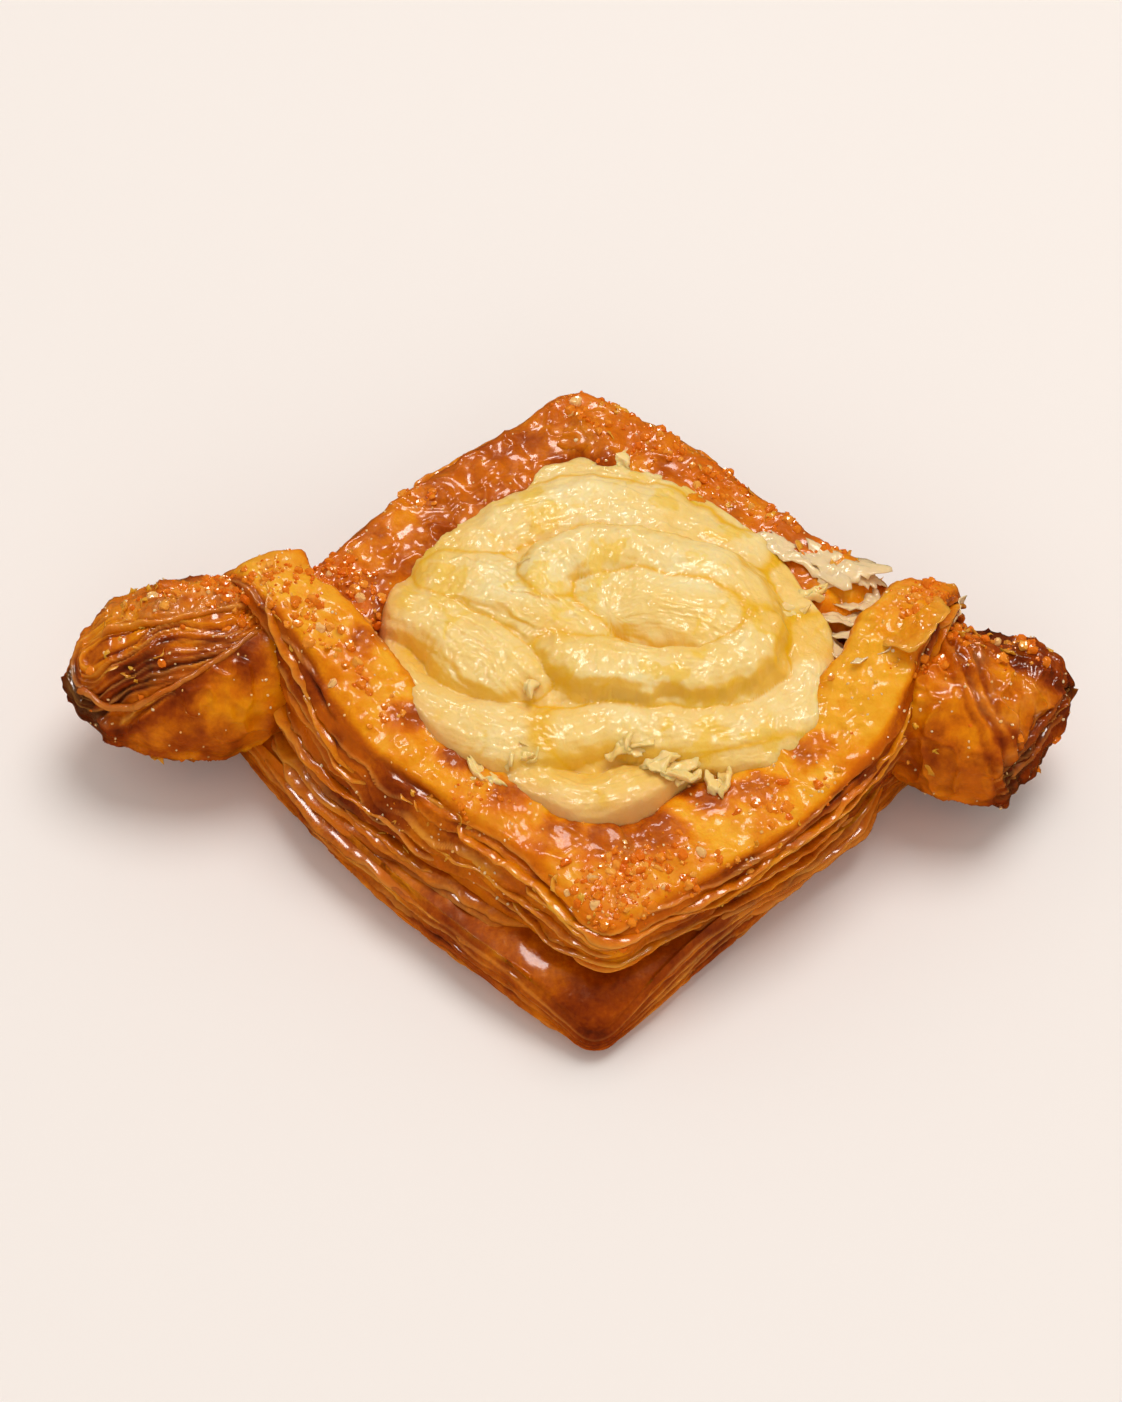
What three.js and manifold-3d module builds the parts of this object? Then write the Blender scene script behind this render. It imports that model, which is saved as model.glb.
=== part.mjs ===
// A twisted Danish pastry with a custard filling, as a three.js scene graph in millimetres.
// A diamond-shaped base sheet carries two long strips of laminated dough. The strips cross at the left and at the
// right, where the dough ends in a twisted knot, and between them they make the rim that holds the custard.
// The frame: +X runs from the left knot to the right knot, +Y to the back corner and +Z up. The origin is on the
// table, under the middle of the pastry.
import * as THREE from 'three';
import { mergeVertices } from 'three/addons/utils/BufferGeometryUtils.js';
import Module from 'manifold-3d';

const wasm = await Module();
wasm.setup();

// Where the middle of the bounding box is from the point that the dimensions are taken from.
const MIDDLE = { x: 1.0, y: -1.75 };

// The base sheet.
const BASE_CORNERS = { left: [-53, 3], front: [4.5, -59.5], right: [56, -4], back: [2, 55] };
const BASE_CORNER_REACH = 5.5;    // how far from a corner its rounding begins
const BASE_BULGE = { frontLeft: 3.2, frontRight: 0.6, backRight: 1.5, backLeft: 2 }; // how far a side bows out
const BASE_THICKNESS = 10;        // at the baked edge
const BASE_FLOOR = 7.5;           // under the custard
const BASE_EDGE_STEPS = 64;       // faces round the sheet

// The strips.
const STRIP_ROUNDNESS = 4.5;      // exponent of the rounded rectangular section
const STRIP_LAYERS = 4;           // leaves of dough that part along the cut edge
const LAYER_DEPTH = 0.9;          // depth of the gaps between them
const BLISTER_HEIGHT = 0.5;       // blisters on the baked top
const SECTION_STEPS = [9, 4, 3, 2]; // faces on the cut edge, the top, the inside and the bottom of a section
const STRIP_RINGS = 56;           // rings along a strip
const HEADING_SPAN = 0.03;        // share of a strip over which its direction is averaged

// Each strip by its stations: x, y and z of its outer top edge, its width across the sheet, its thickness, its roll
// about its own length in degrees, and how far its foot stands out past its top. The cut edge is on the right of
// the way the strip runs.
const FRONT_STRIP = [
  [-52.5, 18.5, 17.0, 12, 9, 0, 0],
  [-50.5, 13.5, 24.5, 14, 12, 4, 0],
  [-47.3, 8.8, 28.9, 14.5, 13, 10, 0.5],
  [-42.3, 3.0, 29.9, 15, 13, 10, 1],
  [-37.5, -4.0, 28.0, 16, 13, 6, 2],
  [-34.2, -11.5, 25.0, 16, 13, 2, 2.5],
  [-30.0, -19.0, 22.8, 16, 13, 0, 3],
  [-20.5, -27.5, 21.2, 16, 12.5, 0, 3.2],
  [-10.5, -36.0, 20.8, 16, 12, 0, 3.2],
  [-1.0, -43.6, 20.3, 17.5, 11.5, 0, 2.5],
  [6.5, -50.2, 19.6, 20, 10.5, 0, 1],
  [14.5, -46.5, 19.8, 19.5, 11, 0, -1],
  [25.0, -39.5, 20.2, 18, 12, 0, -1.5],
  [35.5, -31.5, 20.6, 17, 12, 0, -1.5],
  [43.5, -23.0, 21.5, 16, 12, 0, -1],
  [48.5, -14.8, 24.2, 15.5, 12.5, 2, 0],
  [52.6, -5.0, 28.2, 15, 13, 3, 0],
  [55.8, 2.0, 30.4, 14, 13, 4, 0],
  [58.6, 7.6, 28.0, 13, 12, 8, 0],
  [60.5, 12.0, 21.0, 11, 9, 14, 0],
];
const BACK_STRIP = [
  [59.0, 2.0, 14.0, 13, 10, 10, 0],
  [52.5, 10.5, 19.5, 14, 12, 5, 0],
  [46.0, 17.4, 22.6, 14, 12, 0, 0],
  [37.5, 24.2, 23.2, 13.5, 12, 0, 0],
  [28.8, 33.2, 23.5, 13, 12, 0, 0],
  [19.8, 42.0, 23.6, 13, 12, 0, 0],
  [10.7, 48.4, 23.8, 13, 12, 0, 0],
  [1.8, 53.4, 24.0, 15, 12, 0, 0],
  [-7.5, 46.2, 23.4, 13, 12, 0, 0],
  [-16.5, 38.8, 23.2, 13, 12, 0, 0],
  [-25.6, 31.0, 23.0, 13.5, 12, 2, 0],
  [-33.8, 21.2, 22.8, 14, 12, 6, 0],
  [-41.5, 13.5, 22.0, 15, 12, 12, 0],
  [-50.0, 10.0, 18.5, 13, 10, 20, 0],
];

// Each knot by its stations: x, y and z of the middle of its section, and how far the section reaches across and up.
const LEFT_KNOT = [
  [-34.0, 5.0, 16.0, 8.0, 7.0],
  [-43.0, 4.8, 16.0, 12.2, 10.6],
  [-50.5, 3.6, 15.8, 13.6, 12.4],
  [-58.5, 3.6, 15.6, 13.4, 12.4],
  [-66.0, 2.6, 15.2, 11.0, 10.2],
  [-71.5, 1.2, 15.0, 7.4, 7.2],
  [-74.8, 0.4, 15.0, 3.0, 3.0],
];
const RIGHT_KNOT = [
  [42.0, -2.0, 15.0, 8.0, 7.0],
  [49.5, -4.0, 15.5, 12.5, 11.5],
  [56.0, -5.6, 13.8, 14.4, 12.4],
  [62.5, -5.6, 12.8, 13.6, 11.4],
  [68.5, -3.2, 13.0, 11.0, 9.6],
  [73.5, -1.0, 13.8, 6.4, 6.4],
  [76.8, 0.2, 14.2, 2.2, 2.6],
];
const KNOT_STEPS = { round: 22, long: 15 }; // faces round and along a knot
const KNOT_FOLDS = 3;             // leaves of dough that spiral round a knot
const KNOT_TWIST = 3.2;           // radians that they turn along it
const KNOT_FOLD_DEPTH = 0.075;    // depth of the spiral grooves, as a share of the radius

// The custard.
const CUSTARD_GAP = 0.35;         // clearance that keeps the custard a solid of its own
const CUSTARD_FOOT = 7.9;         // height of its underside above the table
const CUSTARD_FOOT_SIZE = 0.84;   // size of its underside, as a share of the rim
const CUSTARD_STEPS = { round: 68, top: 16 }; // faces round it and from its middle to its rim
const CUSTARD_EDGE = 2.6;         // how fast its surface turns down at the rim
const CUSTARD_BODY = { middle: [10, 4], crown: 25.5, fall: 6.5, reach: 40 }; // the low dome that the rolls lie on
// The rim, anticlockwise from the back: x, y and height.
const CUSTARD_RIM = [
  [6, 42, 24.6], [-6, 38, 24], [-20, 27, 22.4], [-26, 14, 20], [-27, 5, 19], [-26, -3, 19.2], [-22, -11, 20.6],
  [-16.5, -18, 22], [-4, -27, 22.1], [3.5, -31, 22.1], [11.5, -28.5, 22.1], [19, -23, 22.1], [26, -22, 22.1],
  [34, -20, 22.1], [40, -8.5, 22.1], [40.5, 3, 22.1], [37, 10.5, 22.6], [33, 19, 23.4], [20.5, 32, 24.4],
];
// The piped rolls: radius, then x, y and height of points along the crown.
const CUSTARD_ROLLS = [
  { radius: 9, path: [[-13, 24, 24.5], [-3, 31, 25.5], [9, 33, 26.5], [18, 28, 26.5], [27, 18, 25.5]] },
  { radius: 7, path: [[-2, 15, 28.5], [9, 17, 30.8], [20, 13, 31], [28, 6, 30], [33, -1, 28]] },
  { radius: 5.5, path: [[31, -4, 28.5], [20, -10.5, 29.8], [9, -11.5, 29.4], [1, -5, 28.2]] },
  { radius: 8, path: [[-20, 17, 23.5], [-13, 15, 26], [-6, 10, 27.2]] },
  { radius: 6, path: [[-24, 8, 22], [-16, 2, 24.5], [-6, -6, 25]] },
  { radius: 5.5, path: [[-24, 0, 19.5], [-18, -7, 21], [-10, -14, 21.5], [-3, -18, 21]] },
  { radius: 5, path: [[0, -15, 22.5], [11, -14, 24], [23, -14, 24], [33, -12, 23.5], [38, -4, 23], [37, 8, 23.5]] },
  { radius: 5, path: [[-1, -25, 22.5], [6, -27, 23.2], [12, -22, 23], [18, -20, 21.5]] },
];
const ROLL_BLEND = 0.55;          // how sharply one roll meets the next, larger is sharper

// Sugar crystals and flakes on the dough.
const CRYSTAL_COUNT = 54;
const CRYSTAL_RADIUS = [0.55, 1.25];
const CRYSTAL_SINK = 0.25;        // how deep a crystal sits in the dough, as a share of its radius
const CRYSTAL_ZONES = [           // strip, from and to along it, from and to across it, share of the crystals
  ['front', 0.08, 0.2, -0.7, 0.8, 0.2],
  ['front', 0.2, 0.42, -0.5, 0.7, 0.12],
  ['front', 0.46, 0.58, -0.6, 0.85, 0.24],
  ['front', 0.83, 0.93, -0.5, 0.8, 0.1],
  ['back', 0.18, 0.46, -0.3, 0.85, 0.24],
  ['back', 0.5, 0.88, -0.6, 0.85, 0.1],
];
// Each flake: x, y and z of its middle, its length and width, and its turn and tilt in degrees.
const FLAKES = [
  [42.5, 13.5, 19.5, 12, 7, -38, 18],
  [47.0, 11.0, 21.5, 9, 6, -20, 8],
  [44.5, 7.5, 17.5, 12, 6, -55, 32],
  [40.8, 17.5, 20.5, 9, 5, -30, 26],
  [39.5, 6.0, 15.5, 9, 6, -62, 40],
];
const FLAKE_THICKNESS = 1.1;

const WELD = 1e-3;                // points closer than this are one point

const clamp = (value, low, high) => Math.min(Math.max(value, low), high);
const smooth = (edge0, edge1, value) => THREE.MathUtils.smoothstep(value, edge0, edge1);
const lerp = (a, b, share) => a + (b - a) * share;

// A repeatable sequence of numbers from 0 to 1.
let seed = 41;
function random() {
  seed = (seed * 16807) % 2147483647;
  return seed / 2147483647;
}

// A closed three.js geometry as a solid.
function solidOf(geometry) {
  geometry.deleteAttribute('normal');
  geometry.deleteAttribute('uv');
  const merged = mergeVertices(geometry, WELD);
  const vertProperties = merged.attributes.position.array;
  const triVerts = new Uint32Array(merged.index.array);
  return new wasm.Manifold(new wasm.Mesh({ numProp: 3, vertProperties, triVerts }));
}

// The solid as a geometry again.
function geometryOf(solid) {
  const mesh = solid.getMesh();
  const geometry = new THREE.BufferGeometry();
  geometry.setAttribute('position', new THREE.BufferAttribute(mesh.vertProperties, 3));
  geometry.setIndex(new THREE.BufferAttribute(mesh.triVerts, 1));
  geometry.computeVertexNormals();
  return geometry;
}

// The largest body of a solid, with any pocket sealed inside it filled.
function oneBody(solid) {
  const bodies = solidOf(geometryOf(solid)).decompose();
  return bodies.reduce((best, body) => (body.volume() > best.volume() ? body : best));
}

// Moves every vertex of a geometry to the point that place gives for it.
function shaped(geometry, place) {
  const position = geometry.attributes.position;
  const vertex = new THREE.Vector3();
  for (let i = 0; i < position.count; i++) {
    vertex.fromBufferAttribute(position, i);
    const { x, y, z } = place(vertex);
    position.setXYZ(i, x, y, z);
  }
  return geometry;
}

// Smooth waves that don't repeat over the pastry, from -1 to 1.
function ripple(x, y, z) {
  const slow = Math.sin(1.3 * x + 2.1 * y - 0.7 * z) + Math.sin(2.3 * y - 1.7 * z + 1.9 * Math.sin(0.8 * x));
  return (slow + Math.sin(1.9 * z - 1.1 * x + 1.3 * Math.sin(1.1 * y))) / 3;
}

// A smooth curve through one kind of value of every station.
function curveOf(stations, pick) {
  const points = stations.map((station) => new THREE.Vector3(...pick(station)));
  return new THREE.CatmullRomCurve3(points, false, 'centripetal');
}

// Values along a list of stations that don't make a curve in space, blended evenly from one to the next.
function blend(stations, share, index) {
  const place = clamp(share, 0, 1) * (stations.length - 1);
  const from = Math.min(Math.floor(place), stations.length - 2);
  return lerp(stations[from][index], stations[from + 1][index], smooth(0, 1, place - from));
}

// A point of a rounded square section. Side 0 is the cut edge, 1 the top, 2 the inside and 3 the bottom.
function sectionPoint(side, share) {
  const corner = 2 ** (-1 / STRIP_ROUNDNESS);
  const along = (2 * share - 1) * corner;
  const out = (1 - Math.abs(along) ** STRIP_ROUNDNESS) ** (1 / STRIP_ROUNDNESS);
  return [[out, along], [-along, out], [-out, -along], [along, -out]][side];
}

const SECTION = SECTION_STEPS.flatMap((steps, side) =>
  Array.from({ length: steps }, (_, step) => sectionPoint(side, step / steps)));

// The frame of a strip at a share of its length: its outer top edge, its axes across and up, and its sizes.
function frameAt(strip, t) {
  const edge = strip.path.getPoint(t);
  const ahead = strip.path.getPoint(clamp(t + HEADING_SPAN, 0, 1));
  const heading = ahead.sub(strip.path.getPoint(clamp(t - HEADING_SPAN, 0, 1))).normalize();
  const level = new THREE.Vector3().crossVectors(heading, new THREE.Vector3(0, 0, 1)).normalize();
  const up = new THREE.Vector3().crossVectors(level, heading);
  const roll = THREE.MathUtils.degToRad(blend(strip.stations, t, 5));
  const across = level.clone().multiplyScalar(Math.cos(roll)).addScaledVector(up, Math.sin(roll));
  const normal = level.multiplyScalar(-Math.sin(roll)).addScaledVector(up, Math.cos(roll));
  const [halfWidth, halfHeight] = [blend(strip.stations, t, 3) / 2, blend(strip.stations, t, 4) / 2];
  return { edge, across, normal, halfWidth, halfHeight, lean: blend(strip.stations, t, 6) };
}

// A point on a strip: a runs from -1 on the inside to 1 at the cut edge, and n from -1 at the foot to 1 on top.
function stripPoint(frame, a, n) {
  const lean = frame.lean * (1 - n) / 2 * smooth(-0.5, 1, a);
  return frame.edge.clone()
    .addScaledVector(frame.across, (a - 0.93) * frame.halfWidth + lean)
    .addScaledVector(frame.normal, (n - 0.93) * frame.halfHeight);
}

// The leaves of dough along the cut edge stand out by different amounts, with gaps between them.
function leafRelief(n, t) {
  const place = (n + 1) / 2 * STRIP_LAYERS + 0.35 * Math.sin(23 * t) + 0.25 * Math.sin(51 * t + 1);
  const leaf = Math.floor(place);
  const gap = Math.abs(2 * (place - leaf) - 1) ** 2;
  const reach = Math.sin(leaf * 2.4 + 17 * t) + Math.sin(leaf * 4.1 - 31 * t);
  return -LAYER_DEPTH * gap + 0.3 * reach;
}

const stripOf = (stations) => ({ stations, path: curveOf(stations, ([x, y, z]) => [x, y, z]) });

// One strip: a cylinder bent along its path, with the rounded section, the leaves and the blisters.
function stripSolid(strip) {
  const around = SECTION.length;
  const frames = Array.from({ length: STRIP_RINGS + 1 }, (_, ring) => frameAt(strip, ring / STRIP_RINGS));
  const cylinder = new THREE.CylinderGeometry(1, 1, 1, around, STRIP_RINGS);
  return solidOf(shaped(cylinder, (v) => {
    const t = 0.5 - v.y;
    const onAxis = Math.hypot(v.x, v.z) < 0.5;
    const turn = Math.round((Math.atan2(v.x, v.z) / (2 * Math.PI) + 1) * around) % around;
    const [a, n] = onAxis ? [0, 0] : SECTION[turn];
    const ends = smooth(0, 0.03, t) * smooth(0, 0.03, 1 - t);
    const taper = 0.5 + 0.5 * Math.sqrt(ends);
    const frame = frames[Math.round(t * STRIP_RINGS)];
    const point = stripPoint(frame, a * taper, n * taper);
    point.addScaledVector(frame.across, smooth(0.75, 0.97, a) * ends * leafRelief(n, t));
    const top = smooth(0.75, 0.97, n) * ends;
    return point.addScaledVector(frame.normal, top * BLISTER_HEIGHT * ripple(point.x / 2.6, point.y / 2.6, 0));
  }));
}

// One knot: a sphere drawn out along its stations, with leaves that spiral round it.
function knotSolid(stations, twist) {
  const path = curveOf(stations, ([x, y, z]) => [x, y, z]);
  const way = Math.sign(stations[stations.length - 1][0] - stations[0][0]);
  const ball = new THREE.SphereGeometry(1, KNOT_STEPS.round, KNOT_STEPS.long);
  return solidOf(shaped(ball, (v) => {
    const share = Math.acos(clamp(v.y, -1, 1)) / Math.PI;
    const angle = Math.atan2(v.z, v.x);
    const closed = Math.min(1, Math.sin(Math.PI * share) * 2.2);
    const turn = (angle + twist * share) * KNOT_FOLDS;
    const fold = 1 + KNOT_FOLD_DEPTH * Math.sin(turn + 0.7 * Math.sin(turn)) * closed;
    const wide = blend(stations, share, 3) * closed * fold;
    const tall = blend(stations, share, 4) * closed * fold;
    const middle = path.getPoint(share);
    return middle.add(new THREE.Vector3(0, Math.cos(angle) * wide * way, Math.sin(angle) * tall));
  }));
}

// The outline of the base sheet: a diamond with bowed sides and rounded corners.
function baseOutline() {
  const order = ['left', 'front', 'right', 'back'];
  const bulges = [BASE_BULGE.frontLeft, BASE_BULGE.frontRight, BASE_BULGE.backRight, BASE_BULGE.backLeft];
  const corners = order.map((name) => new THREE.Vector2(...BASE_CORNERS[name]));
  const outline = new THREE.Path();
  corners.forEach((corner, i) => {
    const next = corners[(i + 1) % 4];
    const afterNext = corners[(i + 2) % 4];
    const side = next.clone().sub(corner).normalize();
    const following = afterNext.clone().sub(next).normalize();
    const start = corner.clone().addScaledVector(side, BASE_CORNER_REACH);
    const end = next.clone().addScaledVector(side, -BASE_CORNER_REACH);
    const outward = new THREE.Vector2(side.y, -side.x);
    const bow = start.clone().add(end).multiplyScalar(0.5).addScaledVector(outward, 2 * bulges[i]);
    const turned = next.clone().addScaledVector(following, BASE_CORNER_REACH);
    if (i === 0) outline.moveTo(start.x, start.y);
    outline.quadraticCurveTo(bow.x, bow.y, end.x, end.y);
    outline.quadraticCurveTo(next.x, next.y, turned.x, turned.y);
  });
  return outline.getSpacedPoints(BASE_EDGE_STEPS);
}

// The base sheet: a lathe profile whose round plan is carried out to the outline.
function baseSolid() {
  const outline = baseOutline();
  const profile = [
    [0, 0], [0.93, 0], [0.982, 0.1], [0.97, 0.24], [1, 0.34], [0.974, 0.48], [0.992, 0.6], [0.962, 0.74],
    [0.958, 0.88], [0.9, 1], [0.8, 0.97], [0.62, BASE_FLOOR / BASE_THICKNESS], [0, BASE_FLOOR / BASE_THICKNESS],
  ].map(([r, z]) => new THREE.Vector2(r, z));
  const middle = new THREE.Vector2(2, -2);
  const lathe = new THREE.LatheGeometry(profile, BASE_EDGE_STEPS);
  return solidOf(shaped(lathe, (v) => {
    const angle = Math.atan2(v.x, v.z) / (2 * Math.PI) + 1;
    const step = Math.round(angle * BASE_EDGE_STEPS) % BASE_EDGE_STEPS;
    const out = outline[step].clone().sub(middle);
    const radius = Math.hypot(v.x, v.z);
    const rim = smooth(0.88, 0.94, radius);
    const edge = rim * 0.014 * ripple(out.x / 4, out.y / 4, v.y * 4);
    const corner = smooth(46, 60, out.length()) * smooth(0.7, 1, radius);
    const height = v.y * BASE_THICKNESS * (1 - 0.35 * corner);
    const plan = middle.clone().addScaledVector(out, radius + edge);
    return new THREE.Vector3(plan.x, plan.y, height);
  }));
}

// Height of the custard's surface over a point of the plan: a low body with the piped rolls blended into it.
function custardTop(x, y) {
  const { middle, crown: height, fall, reach } = CUSTARD_BODY;
  const share = Math.hypot(x - middle[0], y - middle[1]) / reach;
  let total = Math.exp(ROLL_BLEND * (height - fall * share * share));
  for (const { radius, path } of CUSTARD_ROLLS) {
    let crown = -Infinity;
    for (let i = 0; i + 1 < path.length; i++) {
      const [a, b] = [path[i], path[i + 1]];
      const [dx, dy] = [b[0] - a[0], b[1] - a[1]];
      const along = clamp(((x - a[0]) * dx + (y - a[1]) * dy) / (dx * dx + dy * dy), 0, 1);
      const away = Math.hypot(x - a[0] - along * dx, y - a[1] - along * dy) / radius;
      const drop = away < 1 ? radius * (1 - Math.sqrt(1 - away * away * 0.92)) : radius * (away - 0.28);
      crown = Math.max(crown, lerp(a[2], b[2], along) - drop);
    }
    total += Math.exp(ROLL_BLEND * crown);
  }
  return Math.log(total) / ROLL_BLEND;
}

// The custard, with its whole surface moved out by grow.
function custardSolid(grow) {
  const rim = new THREE.CatmullRomCurve3(CUSTARD_RIM.map((point) => new THREE.Vector3(...point)), true);
  const { round, top } = CUSTARD_STEPS;
  const rings = [...Array.from({ length: top }, (_, i) => [i / top, 1]), [1, 0], [0.95, -1], [0.87, -2], [CUSTARD_FOOT_SIZE, -3], [0, -3]];
  const profile = rings.map(([radius], i) => new THREE.Vector2(Math.min(radius, 1), rings.length - i));
  const lathe = new THREE.LatheGeometry(profile.reverse(), round);
  const edges = rim.getSpacedPoints(round);
  const middle = new THREE.Vector3(7, 5, 0);
  const geometry = shaped(lathe, (v) => {
    const ring = rings.length - Math.round(v.y);
    const [radius, level] = rings[ring];
    const angle = Math.atan2(v.x, v.z) / (2 * Math.PI) + 1;
    const edge = edges[Math.round(angle * round) % round];
    const [x, y] = [lerp(middle.x, edge.x, radius), lerp(middle.y, edge.y, radius)];
    const turnDown = (1 - radius ** (CUSTARD_EDGE * 4)) ** (1 / CUSTARD_EDGE);
    const crown = Math.max(custardTop(x, y), edge.z);
    const under = [CUSTARD_FOOT, edge.z - 3.4, edge.z - 2.4, edge.z - 1.6];
    const z = level > 0 ? lerp(edge.z, crown, turnDown) : under[level + 3];
    return new THREE.Vector3(x, y, z);
  });
  geometry.deleteAttribute('normal');
  geometry.deleteAttribute('uv');
  const merged = mergeVertices(geometry, WELD);
  merged.computeVertexNormals();
  const { position, normal } = merged.attributes;
  for (let i = 0; i < position.count; i++) {
    position.setXYZ(
      i,
      position.getX(i) + grow * normal.getX(i),
      position.getY(i) + grow * normal.getY(i),
      position.getZ(i) + grow * normal.getZ(i),
    );
  }
  return solidOf(merged);
}

// Sugar crystals scattered over the tops of the strips, thickest in their zones, the largest first.
function crystalSolids(strips) {
  const solids = [];
  for (const [name, from, to, inner, outer, share] of CRYSTAL_ZONES) {
    const count = Math.round(CRYSTAL_COUNT * share);
    for (let i = 0; i < count; i++) {
      const frame = frameAt(strips[name], lerp(from, to, random()));
      const a = lerp(inner, outer, random());
      const radius = lerp(CRYSTAL_RADIUS[1], CRYSTAL_RADIUS[0], i / count);
      const middle = stripPoint(frame, a, 1).addScaledVector(frame.normal, radius * (1 - CRYSTAL_SINK) - 0.3);
      const turn = new THREE.Euler(6 * random(), 6 * random(), 6 * random());
      const long = 1 + 0.5 * random();
      const crystal = new THREE.IcosahedronGeometry(radius, 0).scale(long, 1, 0.85);
      crystal.applyMatrix4(new THREE.Matrix4().makeRotationFromEuler(turn).setPosition(middle));
      solids.push(solidOf(crystal));
    }
  }
  return solids;
}

// Thin torn flakes where the back strip runs under the front one.
function flakeSolids() {
  return FLAKES.map(([x, y, z, length, width, turn, tilt], index) => {
    const leaf = new THREE.BoxGeometry(length, width, FLAKE_THICKNESS, 3, 2, 1);
    shaped(leaf, (v) => {
      const torn = 0.8 * ripple(v.x, v.y + 5 * index, 0) * Math.sign(v.y);
      const curl = 0.05 * v.x * v.x + 0.06 * v.y * v.y * Math.sin(index + v.x / 3);
      return new THREE.Vector3(v.x, v.y + torn, v.z + curl);
    });
    leaf.rotateX(THREE.MathUtils.degToRad(tilt)).rotateZ(THREE.MathUtils.degToRad(turn)).translate(x, y, z);
    return solidOf(leaf);
  });
}

const strips = { front: stripOf(FRONT_STRIP), back: stripOf(BACK_STRIP) };
const dough = [
  baseSolid(), stripSolid(strips.front), stripSolid(strips.back),
  knotSolid(LEFT_KNOT, KNOT_TWIST), knotSolid(RIGHT_KNOT, -KNOT_TWIST),
  ...flakeSolids(), ...crystalSolids(strips),
];
const filling = custardSolid(0);
const pastrySolid = oneBody(dough.reduce((sum, part) => sum.add(part)).subtract(custardSolid(CUSTARD_GAP)));

const material = (color, roughness) => new THREE.MeshStandardMaterial({ color, roughness, metalness: 0 });
const danish = new THREE.Group();
for (const [name, solid, look] of [
  ['pastry', pastrySolid, material('#c07c34', 0.4)],
  ['custard', filling, material('#eed98a', 0.3)],
]) {
  const mesh = new THREE.Mesh(geometryOf(solid), look);
  mesh.name = name;
  danish.add(mesh);
}
danish.position.set(-MIDDLE.x, -MIDDLE.y, 0);
export default danish;
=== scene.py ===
import math
from itertools import product

import bpy
import numpy as np
from bpy.props import FloatProperty, FloatVectorProperty, IntProperty, PointerProperty
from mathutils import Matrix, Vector


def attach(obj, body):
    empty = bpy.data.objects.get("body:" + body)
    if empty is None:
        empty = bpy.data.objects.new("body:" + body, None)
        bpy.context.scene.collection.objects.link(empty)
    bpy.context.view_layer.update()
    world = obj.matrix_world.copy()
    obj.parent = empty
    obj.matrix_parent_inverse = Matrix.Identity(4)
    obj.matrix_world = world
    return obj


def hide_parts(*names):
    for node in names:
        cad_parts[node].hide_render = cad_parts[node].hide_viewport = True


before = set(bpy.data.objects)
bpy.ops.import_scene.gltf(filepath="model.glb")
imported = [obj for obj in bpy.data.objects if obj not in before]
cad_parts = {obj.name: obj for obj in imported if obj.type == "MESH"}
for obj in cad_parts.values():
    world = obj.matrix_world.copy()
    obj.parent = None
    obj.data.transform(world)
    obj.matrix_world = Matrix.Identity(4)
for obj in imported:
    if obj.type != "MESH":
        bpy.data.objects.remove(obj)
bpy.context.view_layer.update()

bl_info = {
    "name": "Danish pastry",
    "version": (1, 0, 0),
    "blender": (4, 5, 0),
    "location": "View3D > Sidebar > Danish",
    "description": "Builds a twisted Danish pastry with custard, sugar and flakes",
    "category": "Add Mesh",
}

MM = 0.001
MIDDLE = np.array([1.0, -1.75, 0.0])  # the middle of the pastry, in the millimetres used below
TABLE_GAP = 0.02
UPRIGHT = np.array([0, 0, 1.0])

# Each strip by its stations: x, y and z of the outer top edge, width, thickness, roll and lean.
FRONT_STRIP = np.array([
    [-52.5, 18.5, 17.0, 12, 9, 0, 0],
    [-50.5, 13.5, 24.5, 12, 12, 4, 0.5],
    [-47.8, 9.4, 29.2, 11.5, 13, 8, 1.5],
    [-43.2, 4.0, 30.0, 11, 13, 6, 3.6],
    [-38.2, -2.6, 28.0, 12, 13, 3, 5.0],
    [-34.0, -9.6, 25.2, 13, 13, 0, 5.8],
    [-28.6, -16.8, 23.0, 13.6, 13, 0, 5.8],
    [-18.6, -25.2, 21.6, 13.5, 12.5, 0, 5.9],
    [-8.8, -33.2, 21.1, 14, 12, 0, 5.4],
    [-0.2, -41.2, 20.6, 16, 11, 0, 4.2],
    [6.5, -48.6, 19.9, 19, 9, 0, 1.2],
    [13.6, -45.2, 20.3, 18.5, 10, 0, -0.4],
    [24.2, -38.4, 21.0, 17, 12.5, 0, -0.6],
    [34.8, -30.8, 21.6, 16.4, 13, 0, -0.6],
    [42.6, -22.4, 22.8, 15.6, 13.5, 0, 0],
    [48.2, -14.6, 25.2, 14.4, 13.5, 2, 0.5],
    [52.6, -5.2, 28.8, 12.2, 13.5, 3, 0.5],
    [55.8, 2.0, 30.6, 10.8, 13, 4, 0],
    [58.6, 7.6, 28.0, 10.5, 12, 8, 0],
    [60.5, 12.0, 21.0, 11, 9, 14, 0],
])
BACK_STRIP = np.array([
    [59.0, 2.0, 14.0, 13, 10, 10, 0],
    [52.5, 10.5, 19.5, 14, 12, 5, 0],
    [46.0, 17.4, 22.6, 14, 12, 0, 0],
    [37.5, 24.2, 23.2, 13.5, 12, 0, 0],
    [28.8, 33.2, 23.5, 13, 12, 0, 0],
    [19.8, 42.0, 23.6, 13, 12, 0, 0],
    [10.7, 48.4, 23.8, 13, 12, 0, 0],
    [1.8, 53.4, 24.0, 15, 12, 0, 0],
    [-7.5, 46.2, 23.4, 13, 12, 0, 0],
    [-16.5, 38.8, 23.2, 13, 12, 0, 0],
    [-25.6, 31.0, 23.0, 13.5, 12, 2, 0],
    [-33.8, 21.2, 22.8, 14, 12, 6, 0],
    [-41.5, 13.5, 22.0, 15, 12, 12, 0],
    [-50.0, 10.0, 18.5, 13, 10, 20, 0],
])
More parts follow.
